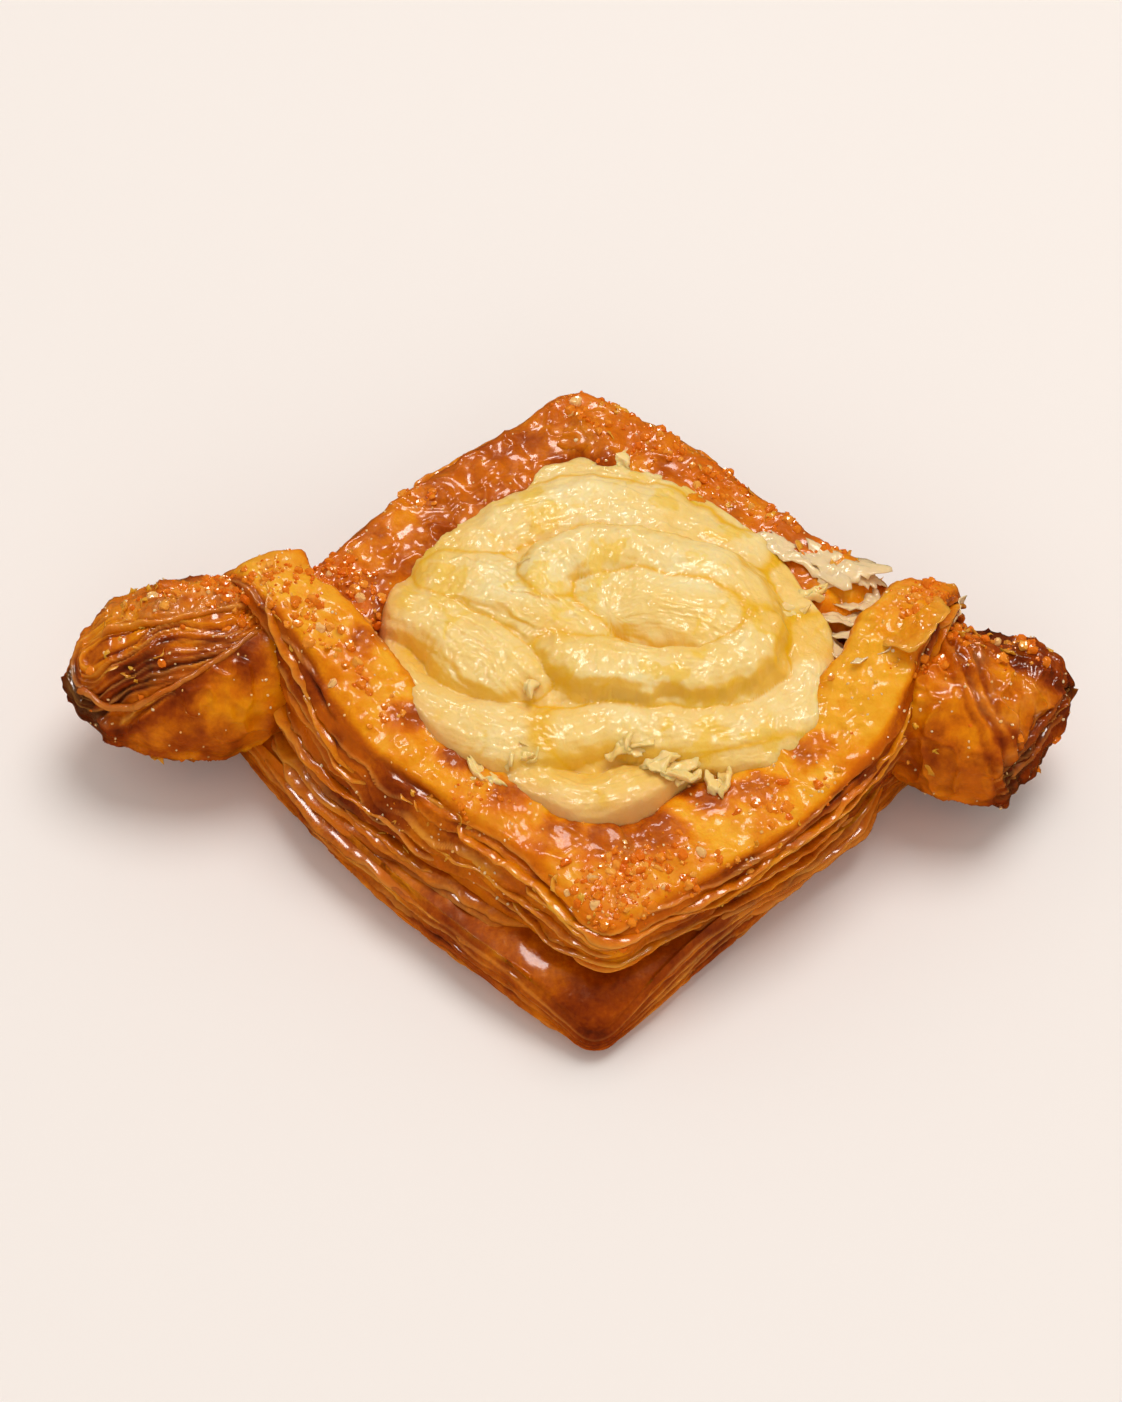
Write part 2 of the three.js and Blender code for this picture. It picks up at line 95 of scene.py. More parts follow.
STRIP_ROUNDNESS = 4.5
STRIP_EDGE = 0.93  # how far out and up the stations lie, as a share of half the section
HEADING_SPAN = 0.03

# Each knot by its stations: x, y and z of the middle, and how far the section reaches across and up.
LEFT_KNOT = np.array([
    [-34.0, 5.0, 16.0, 8.0, 7.0],
    [-43.0, 4.8, 16.0, 12.2, 10.6],
    [-50.5, 3.6, 15.8, 13.6, 12.4],
    [-58.5, 3.6, 15.6, 13.4, 12.4],
    [-65.6, 3.2, 15.4, 10.6, 10.0],
    [-70.6, 2.4, 15.6, 6.8, 6.8],
    [-73.6, 1.8, 15.8, 2.8, 2.8],
])
RIGHT_KNOT = np.array([
    [42.0, -2.0, 15.0, 8.0, 7.0],
    [49.5, -3.0, 15.5, 11.4, 11.2],
    [56.0, -4.4, 14.8, 12.8, 11.8],
    [62.5, -5.0, 13.4, 13.0, 11.2],
    [68.0, -2.8, 13.2, 10.4, 9.4],
    [72.9, -0.6, 14.0, 5.8, 6.0],
    [76.2, 0.6, 14.4, 2.2, 2.6],
])
KNOT_RINGS, KNOT_AROUND = 260, 180
TRACK_ROWS, TRACK_COLUMNS = 300, 240

# The base sheet's corners, in order: left, front, right and back, and how far each side bows out.
BASE_CORNERS = np.array([[-53, 3], [4.8, -58.4], [56, -4], [2, 55]], float)
BASE_BULGE = (3.2, 0.6, 1.5, 2.0)
BASE_MIDDLE = np.array([2.0, -2.0])
BASE_POINTS = 460
BASE_CORNER_REACH = 5.5
BASE_CORNER_ZONE = (45, 59)  # how far from the middle a corner begins and ends
CORNER_SINK = 0.42
BASE_THICKNESS = 10.0
BASE_FLOOR = 7.5

# The custard's rim, anticlockwise from the back, and its piped rolls.
CUSTARD_RIM = np.array([
    [6, 42, 24.6], [-6, 38, 24], [-20, 27, 22.4], [-26, 14, 20], [-27, 5, 19], [-26, -3, 19.2],
    [-22, -11, 20.6], [-16.5, -18, 22], [-4, -27, 22.1], [3.5, -31, 22.1], [11.5, -28.5, 22.1],
    [19, -23, 22.1], [26, -22, 22.1], [34, -20, 22.1], [40, -8.5, 22.1], [40.5, 3, 22.1],
    [37, 10.5, 22.6], [33, 19, 23.4], [20.5, 32, 24.4],
])
# Each roll: how far it reaches round its path, how strong its brush marks are, and the path of its crown.
CUSTARD_ROLLS = (
    (8.0, 0.6, ((-16.3, 18.7, 23.8), (-9.2, 23.4, 25.0), (-1.2, 26.8, 26.0), (6.8, 27.6, 26.4),
        (16.3, 23.6, 26.6), (25.7, 17.4, 25.8))),
    (7.5, 0.7, ((-0.4, 34.0, 24.2), (6.9, 34.7, 24.6), (14.9, 31.0, 24.8), (22.8, 25.0, 24.8),
        (29.5, 17.0, 24.4))),
    (6.5, 0.8, ((-24.8, 6.0, 20.5), (-24.8, -3.1, 22), (-18.1, -10.4, 23.8), (-10.3, -14.7, 24.8),
        (-2.7, -15.1, 25.0))),
    (5.6, 0.7, ((-2.7, -15.1, 25.0), (5.0, -14.6, 25.3), (12.6, -14.9, 25.6), (20.2, -14.9, 25.7),
        (27.9, -13.6, 25.4), (33.7, -10.2, 25), (36.2, -4.0, 24.8), (35.8, 3.0, 25.2))),
    (5.2, 0.6, ((32.0, 13.5, 24.4), (35.0, 6.1, 25), (36.4, -1.6, 24.6))),
    (6.0, 0.8, ((17.2, -15.8, 24.6), (24.7, -17.2, 24.2), (31.0, -14.7, 24.2))),
    (6.8, 1.6, ((-21.3, 10.6, 23.5), (-14.4, 2.8, 25.6), (-7.0, -4.4, 26.6))),
    (6.5, 1.5, ((-16.2, 16.1, 24.8), (-8.2, 10.0, 27.0), (-1.2, 3.9, 28.2), (2.0, 0.2, 28.2))),
    (9.0, 0.6, ((8.7, 7.1, 28.9), (16.7, 5.8, 30.0), (23.0, 3.6, 29.6))),
    (5.0, 0.6, ((28.8, 1.4, 29.2), (27.8, 6.2, 29.3), (23.8, 10.5, 29.9), (16.8, 13.8, 30.4),
        (9.8, 15.6, 30.4), (2.7, 15.6, 29.6), (-2.0, 12.5, 28.8), (-2.0, 8.0, 28.2))),
    (4.4, 0.7, ((-1.0, 1.4, 27.6), (1.0, -2.4, 28.0), (6.2, -5.6, 28.8), (14.1, -7.0, 29.3),
        (21.8, -6.8, 29.5), (27.0, -3.8, 29.5), (29.2, 1.6, 29.4))),
    (4.3, 0.9, ((-4.6, -21.1, 22.4), (-0.4, -25.0, 23.2), (6.4, -26.6, 23.6), (11.7, -24.6, 23.4),
        (16.3, -22.4, 22.9))),
)
CUSTARD_MIDDLE = np.array([7.0, 3.0])
# The body under the rolls: the middle of its crown, the crown's height, and how far it falls within its reach.
CUSTARD_BODY = ((10, 8), 26.6, 9.5, 40)
CUSTARD_FOOT = 7.9
ROLL_SHARPNESS = 2.4


# ---- numbers

def smooth(low, high, x):
    """0 at low, 1 at high and eased between them; low may be the larger."""
    s = np.clip((x - low) / (high - low), 0, 1)
    return s * s * (3 - 2 * s)


def bell(x, width):
    """1 at 0, fading to both sides."""
    return np.exp(-(x / width) ** 2)


def hashed(x, y, z, seed):
    """Random numbers from 0 to 1, the same for the same whole x, y, z and seed."""
    h = np.uint32((seed * 0x9E3779B1) & 0xFFFFFFFF)
    for v, factor in ((x, 0x8DA6B343), (y, 0xD8163841), (z, 0xCB1AB31F)):
        h = h ^ (v.astype(np.int64).astype(np.uint32) * np.uint32(factor))
    for shift, factor in ((15, 0x2C1B3C6D), (12, 0x297A2D39), (15, 1)):
        h = (h ^ (h >> np.uint32(shift))) * np.uint32(factor)
    return h.astype(np.float64) / 2 ** 32


def noise(x, y=0.0, z=0.0, seed=0):
    """Smooth noise from -1 to 1."""
    places = np.broadcast_arrays(*(np.asarray(v, float) for v in (x, y, z)))
    floors = [np.floor(v) for v in places]
    shares = [v - f for v, f in zip(places, floors)]
    shares = [u * u * u * (u * (u * 6 - 15) + 10) for u in shares]
    total = 0.0
    for step in product((0, 1), repeat=3):
        weight = 1.0
        for u, d in zip(shares, step):
            weight = weight * (u if d else 1 - u)
        total = total + weight * hashed(*(f + d for f, d in zip(floors, step)), seed)
    return 2 * total - 1


def noise_at(p, seed):
    """Smooth noise at points p."""
    return noise(p[..., 0], p[..., 1], p[..., 2], seed)


def fbm(p, scale, octaves=3, seed=0):
    """Layered noise over points p, whose largest waves are about scale millimetres long."""
    total, size, weight = 0.0, scale, 1.0
    for octave in range(octaves):
        total = total + weight * noise_at(p / size, seed + octave)
        size, weight = size * 0.5, weight * 0.5
    return total


def wrinkles(p, scale, seed):
    """Thin raised creases from 0 to 1, as on a drying skin."""
    ridge = 1 - np.abs(noise_at(p / scale, seed) + 0.35 * noise_at(p / scale * 2.3, seed + 1))
    return np.clip(ridge, 0, 1) ** 5


def bubbles(p, cell, seed, share):
    """Round domes from 0 to 1 on a jittered lattice of cells; share of the cells have one."""
    q = p / cell
    base = np.floor(q)
    best = np.zeros(p.shape[:-1])
    for step in product((-1, 0, 1), repeat=3):
        c = [base[..., k] + step[k] for k in range(3)]
        spot = [c[k] + 0.15 + 0.7 * hashed(*c, seed + k) for k in range(3)]
        radius = 0.22 + 0.42 * hashed(*c, seed + 5) ** 2
        there = hashed(*c, seed + 6) < share
        d2 = sum((q[..., k] - spot[k]) ** 2 for k in range(3)) / radius ** 2
        best = np.maximum(best, there * np.sqrt(np.clip(1 - d2, 0, 1)) * radius / 0.64)
    return best


def curve_points(points, t, closed=False):
    """Points of a centripetal Catmull-Rom curve at the shares t."""
    points = np.asarray(points, float)
    t = np.atleast_1d(t)
    count = len(points)
    if closed:
        place = (t % 1) * count
        whole = np.floor(place).astype(int)
        ids = [(whole + k - 1) % count for k in range(4)]
        p0, p1, p2, p3 = (points[i] for i in ids)
        w = place - whole
    else:
        place = np.clip(t, 0, 1) * (count - 1)
        whole = np.minimum(np.floor(place).astype(int), count - 2)
        w = place - whole
        padded = np.vstack([2 * points[0] - points[1], points, 2 * points[-1] - points[-2]])
        p0, p1, p2, p3 = (padded[whole + k] for k in range(4))
    w = w[:, None]
    d0, d1, d2 = (np.sqrt(np.linalg.norm(b - a, axis=1))[:, None] for a, b in ((p0, p1), (p1, p2), (p2, p3)))
    t1 = ((p1 - p0) / d0 - (p2 - p0) / (d0 + d1) + (p2 - p1) / d1) * d1
    t2 = ((p2 - p1) / d1 - (p3 - p1) / (d1 + d2) + (p3 - p2) / d2) * d1
    return p1 + t1 * w + (-3 * p1 + 3 * p2 - 2 * t1 - t2) * w ** 2 + (2 * p1 - 2 * p2 + t1 + t2) * w ** 3


def blend(values, t):
    """Values along stations, eased from one to the next."""
    place = np.clip(t, 0, 1) * (len(values) - 1)
    whole = np.minimum(np.floor(place).astype(int), len(values) - 2)
    return values[whole] + (values[whole + 1] - values[whole]) * smooth(0, 1, place - whole)


def even_shares(sample, count):
    """Shares at which a curve has points an even length apart."""
    t = np.linspace(0, 1, 1500)
    p = sample(t)
    length = np.concatenate([[0], np.cumsum(np.linalg.norm(np.diff(p, axis=0), axis=1))])
    return np.interp(np.linspace(0, length[-1], count), length, t), np.linspace(0, length[-1], count)


def unit(v):
    return v / np.maximum(np.linalg.norm(v, axis=-1, keepdims=True), 1e-9)


# ---- meshes

def grid_faces(rows, cols, wrap=True):
    """Faces of a grid of vertices, row by row, joined round its columns."""
    r = np.arange(rows - 1)[:, None]
    c = np.arange(cols if wrap else cols - 1)[None, :]
    after = (c + 1) % cols
    quad = np.stack([r * cols + c, r * cols + after, (r + 1) * cols + after, (r + 1) * cols + c], -1)
    return quad.reshape(-1, 4)


def add_mesh(name, points, faces, masks, material, slot, node, rounded=True):
    """A smooth-shaded object in metres, with its masks as vertex attributes."""
    mesh = bpy.data.meshes.new(name)
    mesh.from_pydata(((points - MIDDLE) * MM).tolist(), [], [list(f) for f in faces])
    mesh.polygons.foreach_set("use_smooth", [rounded] * len(mesh.polygons))
    for key, values in masks.items():
        layer = mesh.attributes.new(key, "FLOAT", "POINT")
        layer.data.foreach_set("value", np.clip(values, 0, 3).astype(np.float32).ravel())
    mesh.materials.append(material)
    mesh.update()
    piece = bpy.data.objects.new(name, mesh)
    bpy.context.scene.collection.objects.link(piece)
    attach(piece, "root")
    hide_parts(node)


def tube(points, masks):
    """Rings of points as one closed body: its points, its faces turned outward, and its masks."""
    rows, cols = points.shape[:2]
    quads = grid_faces(rows, cols)
    first, last, end = rows * cols, rows * cols + 1, (rows - 1) * cols
    faces = [tuple(f) for f in quads.tolist()]
    for c in range(cols):
        after = (c + 1) % cols
        faces.append((after, c, first))
        faces.append((end + c, end + after, last))
    flat = np.vstack([points.reshape(-1, 3), points[0].mean(0), points[-1].mean(0)])
    a, b, c, d = (flat[quads[:, k]] for k in range(4))
    centre = flat.mean(0)
    volume = ((a - centre) * (np.cross(b - centre, c - centre) + np.cross(c - centre, d - centre))).sum()
    if volume < 0:
        faces = [f[::-1] for f in faces]
    spread = {}
    for key, values in masks.items():
        values = np.broadcast_to(values, (rows, cols))
        spread[key] = np.concatenate([values.ravel(), [values[0].mean(), values[-1].mean()]])
    return flat, faces, spread


def joined(parts):
    """One list of points, faces and masks from many."""
    points, faces, masks, start = [], [], {key: [] for key in parts[0][2]}, 0
    for flat, part_faces, part_masks in parts:
        points.append(flat)
        faces.extend(tuple(i + start for i in face) for face in part_faces)
        for key, values in part_masks.items():
            masks[key].append(np.broadcast_to(values, len(flat)))
        start += len(flat)
    return np.vstack(points), faces, {key: np.concatenate(values) for key, values in masks.items()}


def add_parts(name, parts, material, slot="baked_dough", node="pastry", rounded=True):
    """One piece from parts, each with its points, faces and masks."""
    add_mesh(name, *joined(parts), material, slot, node, rounded)


def ribbon(path, out, up, reach, depth, thick, curl, masks):
    """A thin leaf along a path: it reaches out of the body by reach and into it by depth, in mm."""
    reach, curl = (np.broadcast_to(v, len(path)).astype(float) for v in (reach, curl))
    half = 0.5 * np.broadcast_to(thick, len(path))
    back, shoulder = -depth + 0 * reach, reach - 0.55 * half - 0.12
    middle = shoulder - 0.4 * depth
    rows = ((back, half), (middle, half), (shoulder, 0.9 * half + curl),
            (reach - 0.15 * half, 0.5 * half + 1.1 * curl), (reach, 1.15 * curl),
            (reach - 0.2 * half, -0.6 * half + 1.1 * curl), (shoulder, -half + curl),
            (middle, -half), (back, -half))
    p = np.stack([path + out * o[:, None] + up * v[:, None] for o, v in rows], 1)
    tip = np.array([0, 0, 0.35, 0.9, 1, 0.8, 0.3, 0, 0])[None]
    inner = np.array([1, 0.6, 0.1, 0, 0, 0.1, 0.4, 0.9, 1])[None]
    spread = {}
    for key, values in masks.items():
        values = np.broadcast_to(np.asarray(values, float), len(path))[:, None]
        spread[key] = values + 0 * tip
    spread["lip"] = spread["lip"] * tip
    # Painted shade: each leaf is darker towards its root and on its underside near the body.
    spread["bake"] = spread["bake"] + 0.2 * inner
    return tube(p, spread)


def sheet(centre, along, normal, size, bend, thick, shift, masks, jag=0.2, wrinkle=0.3, rounds=28, steps=5):
    """A thin torn flake, bent and wrinkled, round its centre."""
    normal = unit(np.asarray(normal, float))
    along = np.asarray(along, float)
    along = unit(along - normal * (along @ normal))
    across = np.cross(normal, along)
    turn = np.linspace(0, 2 * np.pi, rounds, endpoint=False)[None]
    c, n = np.cos(turn), np.sin(turn)
    edge = (np.abs(c) ** 3.2 + np.abs(n) ** 3.2) ** (-1 / 3.2)
    tear = noise(1.7 * c + shift, 1.7 * n, 0, 3) + 0.7 * noise(5 * c + shift, 5 * n, 0, 4)
    edge = edge * (1 + jag * tear)
    r = np.linspace(0, 1, steps + 1)[1:, None]
    u, v = edge * c * r, edge * n * r
    long_, wide = size
    creased = noise(u * long_ / 4 + shift, v * wide / 4, 1, 5)
    creased = creased + 0.5 * noise(u * long_ / 1.7 + shift, v * wide / 1.7, 2, 6)
    height = bend[0] * u ** 2 + bend[1] * v ** 2 + wrinkle * creased
    flat = (np.asarray(centre, float) + along * (u * long_ / 2)[..., None] + across * (v * wide / 2)[..., None]
            + normal * height[..., None])
    body = normal * (0.5 * thick * (1 - 0.7 * r ** 3))[..., None]
    p = np.concatenate([flat + body, (flat - body)[::-1]])
    rim = np.concatenate([r, r[::-1]]) ** 4 + 0 * p[..., 0]
    spread = {key: value + 0 * rim for key, value in masks.items()}
    if "lip" in spread:
        spread["lip"] = np.maximum(spread["lip"], 0.9 * rim)
    return tube(p, spread)


def grid_normals(p):
    """Outward normals of a grid of points whose columns wrap."""
    along = np.gradient(p, axis=0)
    around = np.roll(p, -1, 1) - np.roll(p, 1, 1)
    return unit(np.cross(around, along))


def stains(p, spots):
    """The strongest of some soft round spots at points p: each is x, y, z, radius and strength."""
    total = np.zeros(p.shape[:-1])
    ragged = fbm(p, 3.5, 3, 77)
    for x, y, z, radius, strength in spots:
        d = np.linalg.norm(p - np.array([x, y, z]), axis=-1) / radius + 0.28 * ragged
        total = np.maximum(total, strength * smooth(1.15, 0.35, d))
    return total


# ---- dough relief

def leaf_edges(along, up, height, count, seed, depth):
    """The cut edge of laminated dough. along is in mm, up runs from 0 at the foot to 1 at the top, and
    height is the edge's height in mm. Gives the relief in mm and the masks of the thin lips and the gaps.
    The pieces darken the gaps as painted shade, and pale the lips partly as painted highlight."""
    thick = [np.exp(0.5 * noise(along / 13, i * 7.3, seed) + 0.35 * noise(along / 4.7, i * 3.1, seed + 1))
             for i in range(count)]
    lines = np.cumsum([np.zeros_like(thick[0])] + thick, axis=0)
    lines = lines / lines[-1]
    relief = np.zeros(np.broadcast(along, up).shape)
    lip, gap_shade = relief.copy(), relief.copy()
    soft = 0.12 / height
    for i in range(count):
        reach = depth * (0.55 * noise(along / 21, i * 5.7, seed + 2) + 0.4 * noise(along / 7, i * 2.3, seed + 3)
                         + 0.18 * noise(along / 2.1, i * 1.7, seed + 4))
        low, high = lines[i], lines[i + 1]
        inside = smooth(low - soft, low + soft, up) - smooth(high - soft, high + soft, up)
        share = np.clip((up - low) / (high - low), 0, 1)
        hollow = 0.35 * depth * (0.6 + 0.4 * noise(along / 9, i * 4.1, seed + 5))
        relief += inside * (reach - hollow * np.sin(np.pi * share))
    for i in range(1, count):
        wander = 0.10 * noise(along / 1.3, i * 9.1, seed + 6)
        d = (up - lines[i]) * height + wander
        edge = np.clip(0.45 + 0.7 * noise(along / 8, i * 6.3, seed + 7), 0, 1)
        open_ = smooth(-0.15, 0.45, noise(along / 10, i * 8.9, seed + 8))
        relief += 0.38 * edge * bell(d, 0.17) - 1.0 * depth * open_ * bell(d + 0.34, 0.27)
        lip = np.maximum(lip, edge * bell(d, 0.2))
        gap_shade = np.maximum(gap_shade, open_ * bell(d + 0.34, 0.3))
    return relief, lip, gap_shade


def section(sides):
    """Points of the rounded square section: a across, n up. sides gives the faces on each side."""
    corner = 2 ** (-1 / STRIP_ROUNDNESS)
    a, n = [], []
    for side, steps in enumerate(sides):
        along = (2 * np.arange(steps) / steps - 1) * corner
        out = (1 - np.abs(along) ** STRIP_ROUNDNESS) ** (1 / STRIP_ROUNDNESS)
        a.append([out, -along, -out, along][side])
        n.append([along, out, -along, -out][side])
    return np.concatenate(a), np.concatenate(n)


def strip_rings(stations, rings, sides):
    """The smooth surface of a strip and what its relief needs."""
    t, length = even_shares(lambda s: curve_points(stations[:, :3], s), rings)
    edge = curve_points(stations[:, :3], t)
    ahead = curve_points(stations[:, :3], np.clip(t + HEADING_SPAN, 0, 1))
    behind = curve_points(stations[:, :3], np.clip(t - HEADING_SPAN, 0, 1))
    heading = unit(ahead - behind)
    level = unit(np.cross(heading, UPRIGHT))
    up = np.cross(level, heading)
    roll = np.radians(blend(stations[:, 5], t))[:, None]
    across = level * np.cos(roll) + up * np.sin(roll)
    normal = up * np.cos(roll) - level * np.sin(roll)
    half = blend(stations[:, 3], t)[:, None] / 2
    tall = blend(stations[:, 4], t)[:, None] / 2
    lean = blend(stations[:, 6], t)[:, None]
    a, n = section(sides)
    ends = (smooth(0, 6, length) * smooth(0, 6, length[-1] - length))[:, None]
    taper = 0.25 + 0.75 * np.sqrt(ends)
    aa, nn = a[None] * taper, n[None] * taper
    shift = lean * (1 - nn) / 2 * smooth(-0.5, 1, aa)
    p = (edge[:, None] + across[:, None] * ((aa - STRIP_EDGE) * half + shift)[..., None]
         + normal[:, None] * ((nn - STRIP_EDGE) * tall)[..., None])
    power = STRIP_ROUNDNESS - 1
    out = unit(across[:, None] * (np.sign(a) * np.abs(a) ** power)[None, :, None]
               + normal[:, None] * (np.sign(n) * np.abs(n) ** power)[None, :, None])
    return {"p": p, "out": out, "mm": length[:, None], "ends": ends, "a": a[None], "n": n[None],
            "tall": 2 * tall, "across": across, "normal": normal, "edge": edge, "half": half, "lean": lean,
            "cut": smooth(0.72, 0.95, a)[None] * ends, "top": smooth(0.72, 0.95, n)[None],
            "inner": smooth(0.72, 0.95, -a)[None], "under": smooth(0.72, 0.95, -n)[None]}


def clear_of_table(p):
    """Keeps relief from going through the table."""
    p[..., 2] = np.maximum(p[..., 2], TABLE_GAP)
    return p


def front_strip_shape():
    """The front strip: layered outside, blistered and stained on top, and browner beside the custard, partly
    darker crust and partly painted shadow of the custard.
    """
    s = strip_rings(FRONT_STRIP, 470, (54, 38, 18, 8))
    up = (s["n"] * 0.5 + 0.5) + 0 * s["mm"]
    relief, lip, gap_shade = leaf_edges(s["mm"], up, s["tall"], 7, 11, 1.1)
    relief = relief - 0.35
    p = s["p"]
    blister = bubbles(p, 2.6, 21, 0.55)
    small = bubbles(p, 1.3, 31, 0.4)
    swell = 0.55 * fbm(p, 9, 2, 41) + 0.3 * fbm(p, 2.6, 3, 43)
    top = s["top"] + s["inner"]
    crowd = smooth(-0.35, 0.4, fbm(p, 14, 2, 47))
    move = s["cut"] * relief + top * (swell + (0.42 * blister + 0.2 * small) * crowd)
    move += s["cut"] * 0.1 * fbm(p, 1.6, 2, 44) + top * 0.3 * wrinkles(p, 5.5, 45)
    p = clear_of_table(p + s["out"] * (move * s["ends"])[..., None])
    rim = smooth(0.35, 0.85, s["a"]) * s["top"]
    # The inner side, next to the custard, is darker: partly darker crust, partly painted shade.
    bake = 0.14 * s["top"] + 0.36 * s["inner"] + s["cut"] * (0.5 + 0.14 * fbm(p, 7, 2, 51))
    bake = bake + 0.3 * s["under"]
    bake = bake + 0.16 * rim * (0.7 + 0.6 * fbm(p, 8, 2, 52)) + 0.1 * fbm(p, 6, 3, 53)
    # Painted shade darkens the gaps between leaves; the lips are paler, partly their own colour and partly
    # painted highlight.
    bake = bake + s["cut"] * (0.4 * gap_shade - 0.24 * lip)
    right = smooth(4, 16, p[..., 0]) * s["cut"]
    left = smooth(-14, -26, p[..., 0]) * s["cut"]
    # Browner beside the custard: partly darker crust, partly painted shadow of the custard.
    bake = bake + 0.5 * stains(p, FRONT_BROWN_AND_SHADOW) + 0.3 * smooth(11, 18, p[..., 1])
    bake = bake + 0.16 * right + 0.24 * left - 0.16 * s["top"] * smooth(-0.2, 0.5, fbm(p, 10, 2, 56))
    orange = stains(p, FRONT_STAINS) + 0.55 * rim * smooth(0.0, 0.7, fbm(p, 7, 2, 54))
    orange = orange + 0.7 * s["cut"] * smooth(0.1, 0.6, fbm(p, 6, 2, 57))
    masks = {"bake": bake, "lip": lip * s["cut"], "orange": orange, "gloss": 0.45 + 0.4 * s["cut"] + 0 * bake}
    return p, masks, s


# Stains on the dough: x, y, z, radius and strength. Orange is melted sugar, brown is where it baked darker;
# the brown beside the front of the custard is partly darker crust and partly painted shadow of the custard.
FRONT_STAINS = (
    (9, -42, 20, 9.5, 1.0), (16, -38, 20, 7, 0.7), (2, -38, 20, 5, 0.5), (29, -31, 20, 6, 0.6),
    (42, -16, 21, 4, 0.5), (-6, -30, 20.5, 6, 0.75), (-22, -16, 21.5, 5, 0.5), (-30, -6, 24, 6, 0.6),
    (-35, 6, 26, 6, 0.5), (-41, 12, 29, 5, 0.5), (-28, 2, 21, 5, 0.7), (50, 2, 26, 5, 0.7),
    (53, 6, 30, 5, 0.9), (-14, -24, 21, 4, 0.4),
)
FRONT_BROWN_AND_SHADOW = (
    (-7.2, -25.6, 22, 4.5, 1.0), (0, -31.6, 21, 5.5, 1.0), (7, -32.4, 21, 5.5, 1.0), (14, -31.6, 21, 5.5, 1.0),
    (21.3, -26.4, 22, 5, 1.1), (28.4, -25.2, 22, 4.5, 1.0), (35.8, -18.4, 23, 4, 0.9),
    (-14.4, -19.0, 22, 4, 1.0), (-21.8, -12.2, 23, 4, 1.0), (-29.2, -1.3, 27, 4, 1.0),
)


def cut_face(s, level):
    """Points of a strip's cut edge at a level from -1 at the foot to 1 at the top."""
    edge_share = (1 - np.clip(np.abs(level), 0, 0.995) ** STRIP_ROUNDNESS) ** (1 / STRIP_ROUNDNESS)
    outward = (edge_share - STRIP_EDGE) * s["half"][:, 0] + s["lean"][:, 0] * (1 - level) / 2
    upward = (level - STRIP_EDGE) * s["tall"][:, 0] / 2
    return s["edge"] + s["across"] * outward[:, None] + s["normal"] * upward[:, None]


def strip_leaves(s, count, seed, reach, bake):
    """Thin leaves that stand out of a strip's cut edge, here and there."""
    mm, ends = s["mm"][:, 0], s["ends"][:, 0]
    parts = []
    for i in range(count):
        level = -0.88 + 1.7 * (i + 0.5) / count
        sway = 0.6 * noise(mm / 19, i * 3.7, 0, seed) + 0.22 * noise(mm / 5, i * 5.1, 0, seed + 1)
        level = level + (2.1 / count) * (sway + 0.06 * noise(mm / 1.6, i * 7.7, 0, seed + 2))
        there = smooth(-0.25, 0.2, noise(mm / 15, i * 6.6, 9, seed)) * ends
        out = 0.7 + 0.5 * noise(mm / 9, i * 2.9, 1, seed) + 0.35 * noise(mm / 3.4, i * 4.3, 1, seed + 1)
        out = reach * out + 0.13 * noise(mm / 1.1, i * 6.1, 1, seed + 2)
        out = out * there - 1.3 * (1 - there)
        thick = 0.62 + 0.3 * noise(mm / 6, i * 1.9, 2, seed) + 0.12 * noise(mm / 2, i * 1.9, 2, seed + 3)
        curl = 0.3 * noise(mm / 4.2, i * 8.3, 3, seed) + 0.14 * noise(mm / 1.5, i * 8.3, 4, seed)
        shade = bake + 0.16 * noise(mm / 9, i * 2.2, 5, seed) - 0.16 * i / count
        masks = {"bake": shade, "lip": np.clip(0.55 + 0.5 * noise(mm / 6, i * 9.3, 6, seed), 0, 1),
                 "orange": 0.6 * smooth(0.1, 0.6, noise(mm / 7, i * 4.4, 7, seed)), "gloss": 0.95}
        parts.append(ribbon(cut_face(s, level), s["across"], s["normal"], out, 1.8, thick, curl, masks))
    return parts


def apron(s, seed, span, low, reach, fall, count=3, first=20, step=1.3):
    """Leaves that fan out between the strip's foot and the base sheet, where x is inside span. The lowest is
    low mm up and reaches out furthest; none begins before first mm along the strip."""
    mm, x = s["mm"][:, 0], s["edge"][:, 0]
    there = smooth(span[0] - 4, span[0] + 3, x) * smooth(span[1] + 4, span[1] - 3, x) * (mm > first)
    foot = cut_face(s, -0.85 + 0 * mm)
    level_out = unit(s["across"] * np.array([1, 1, 0]))
    parts = []
    for i in range(count):
        out = reach - fall * i + 0.75 * noise(mm / 9, i * 3.3, 0, seed) + 0.4 * noise(mm / 3.1, i * 5.9, 1, seed)
        out = out + 0.12 * noise(mm / 1.1, i * 2.1, 1, seed + 5)
        path = foot.copy()
        wave = 0.45 * noise(mm / 12, i * 4.9, 2, seed) + 0.2 * noise(mm / 4, i * 2.9, 3, seed)
        path[:, 2] = low + step * i + wave
        curl = -0.25 + 0.3 * noise(mm / 5, i * 7.3, 4, seed)
        masks = {"bake": 0.5 + 0.16 * noise(mm / 8, i * 2.2, 5, seed),
                 "lip": np.clip(0.6 + 0.5 * noise(mm / 6, i * 9.3, 6, seed), 0, 1),
                 "orange": smooth(0.0, 0.6, noise(mm / 8, i * 4.4, 7, seed)), "gloss": 0.9}
        up = np.broadcast_to(UPRIGHT, path.shape)
        thick = 1.2 + 0.4 * noise(mm / 5, i * 1.3, 8, seed)
        parts.append(ribbon(path, level_out, up, out * there - 2.5 * (1 - there), 3.5, thick, curl, masks))
    return parts


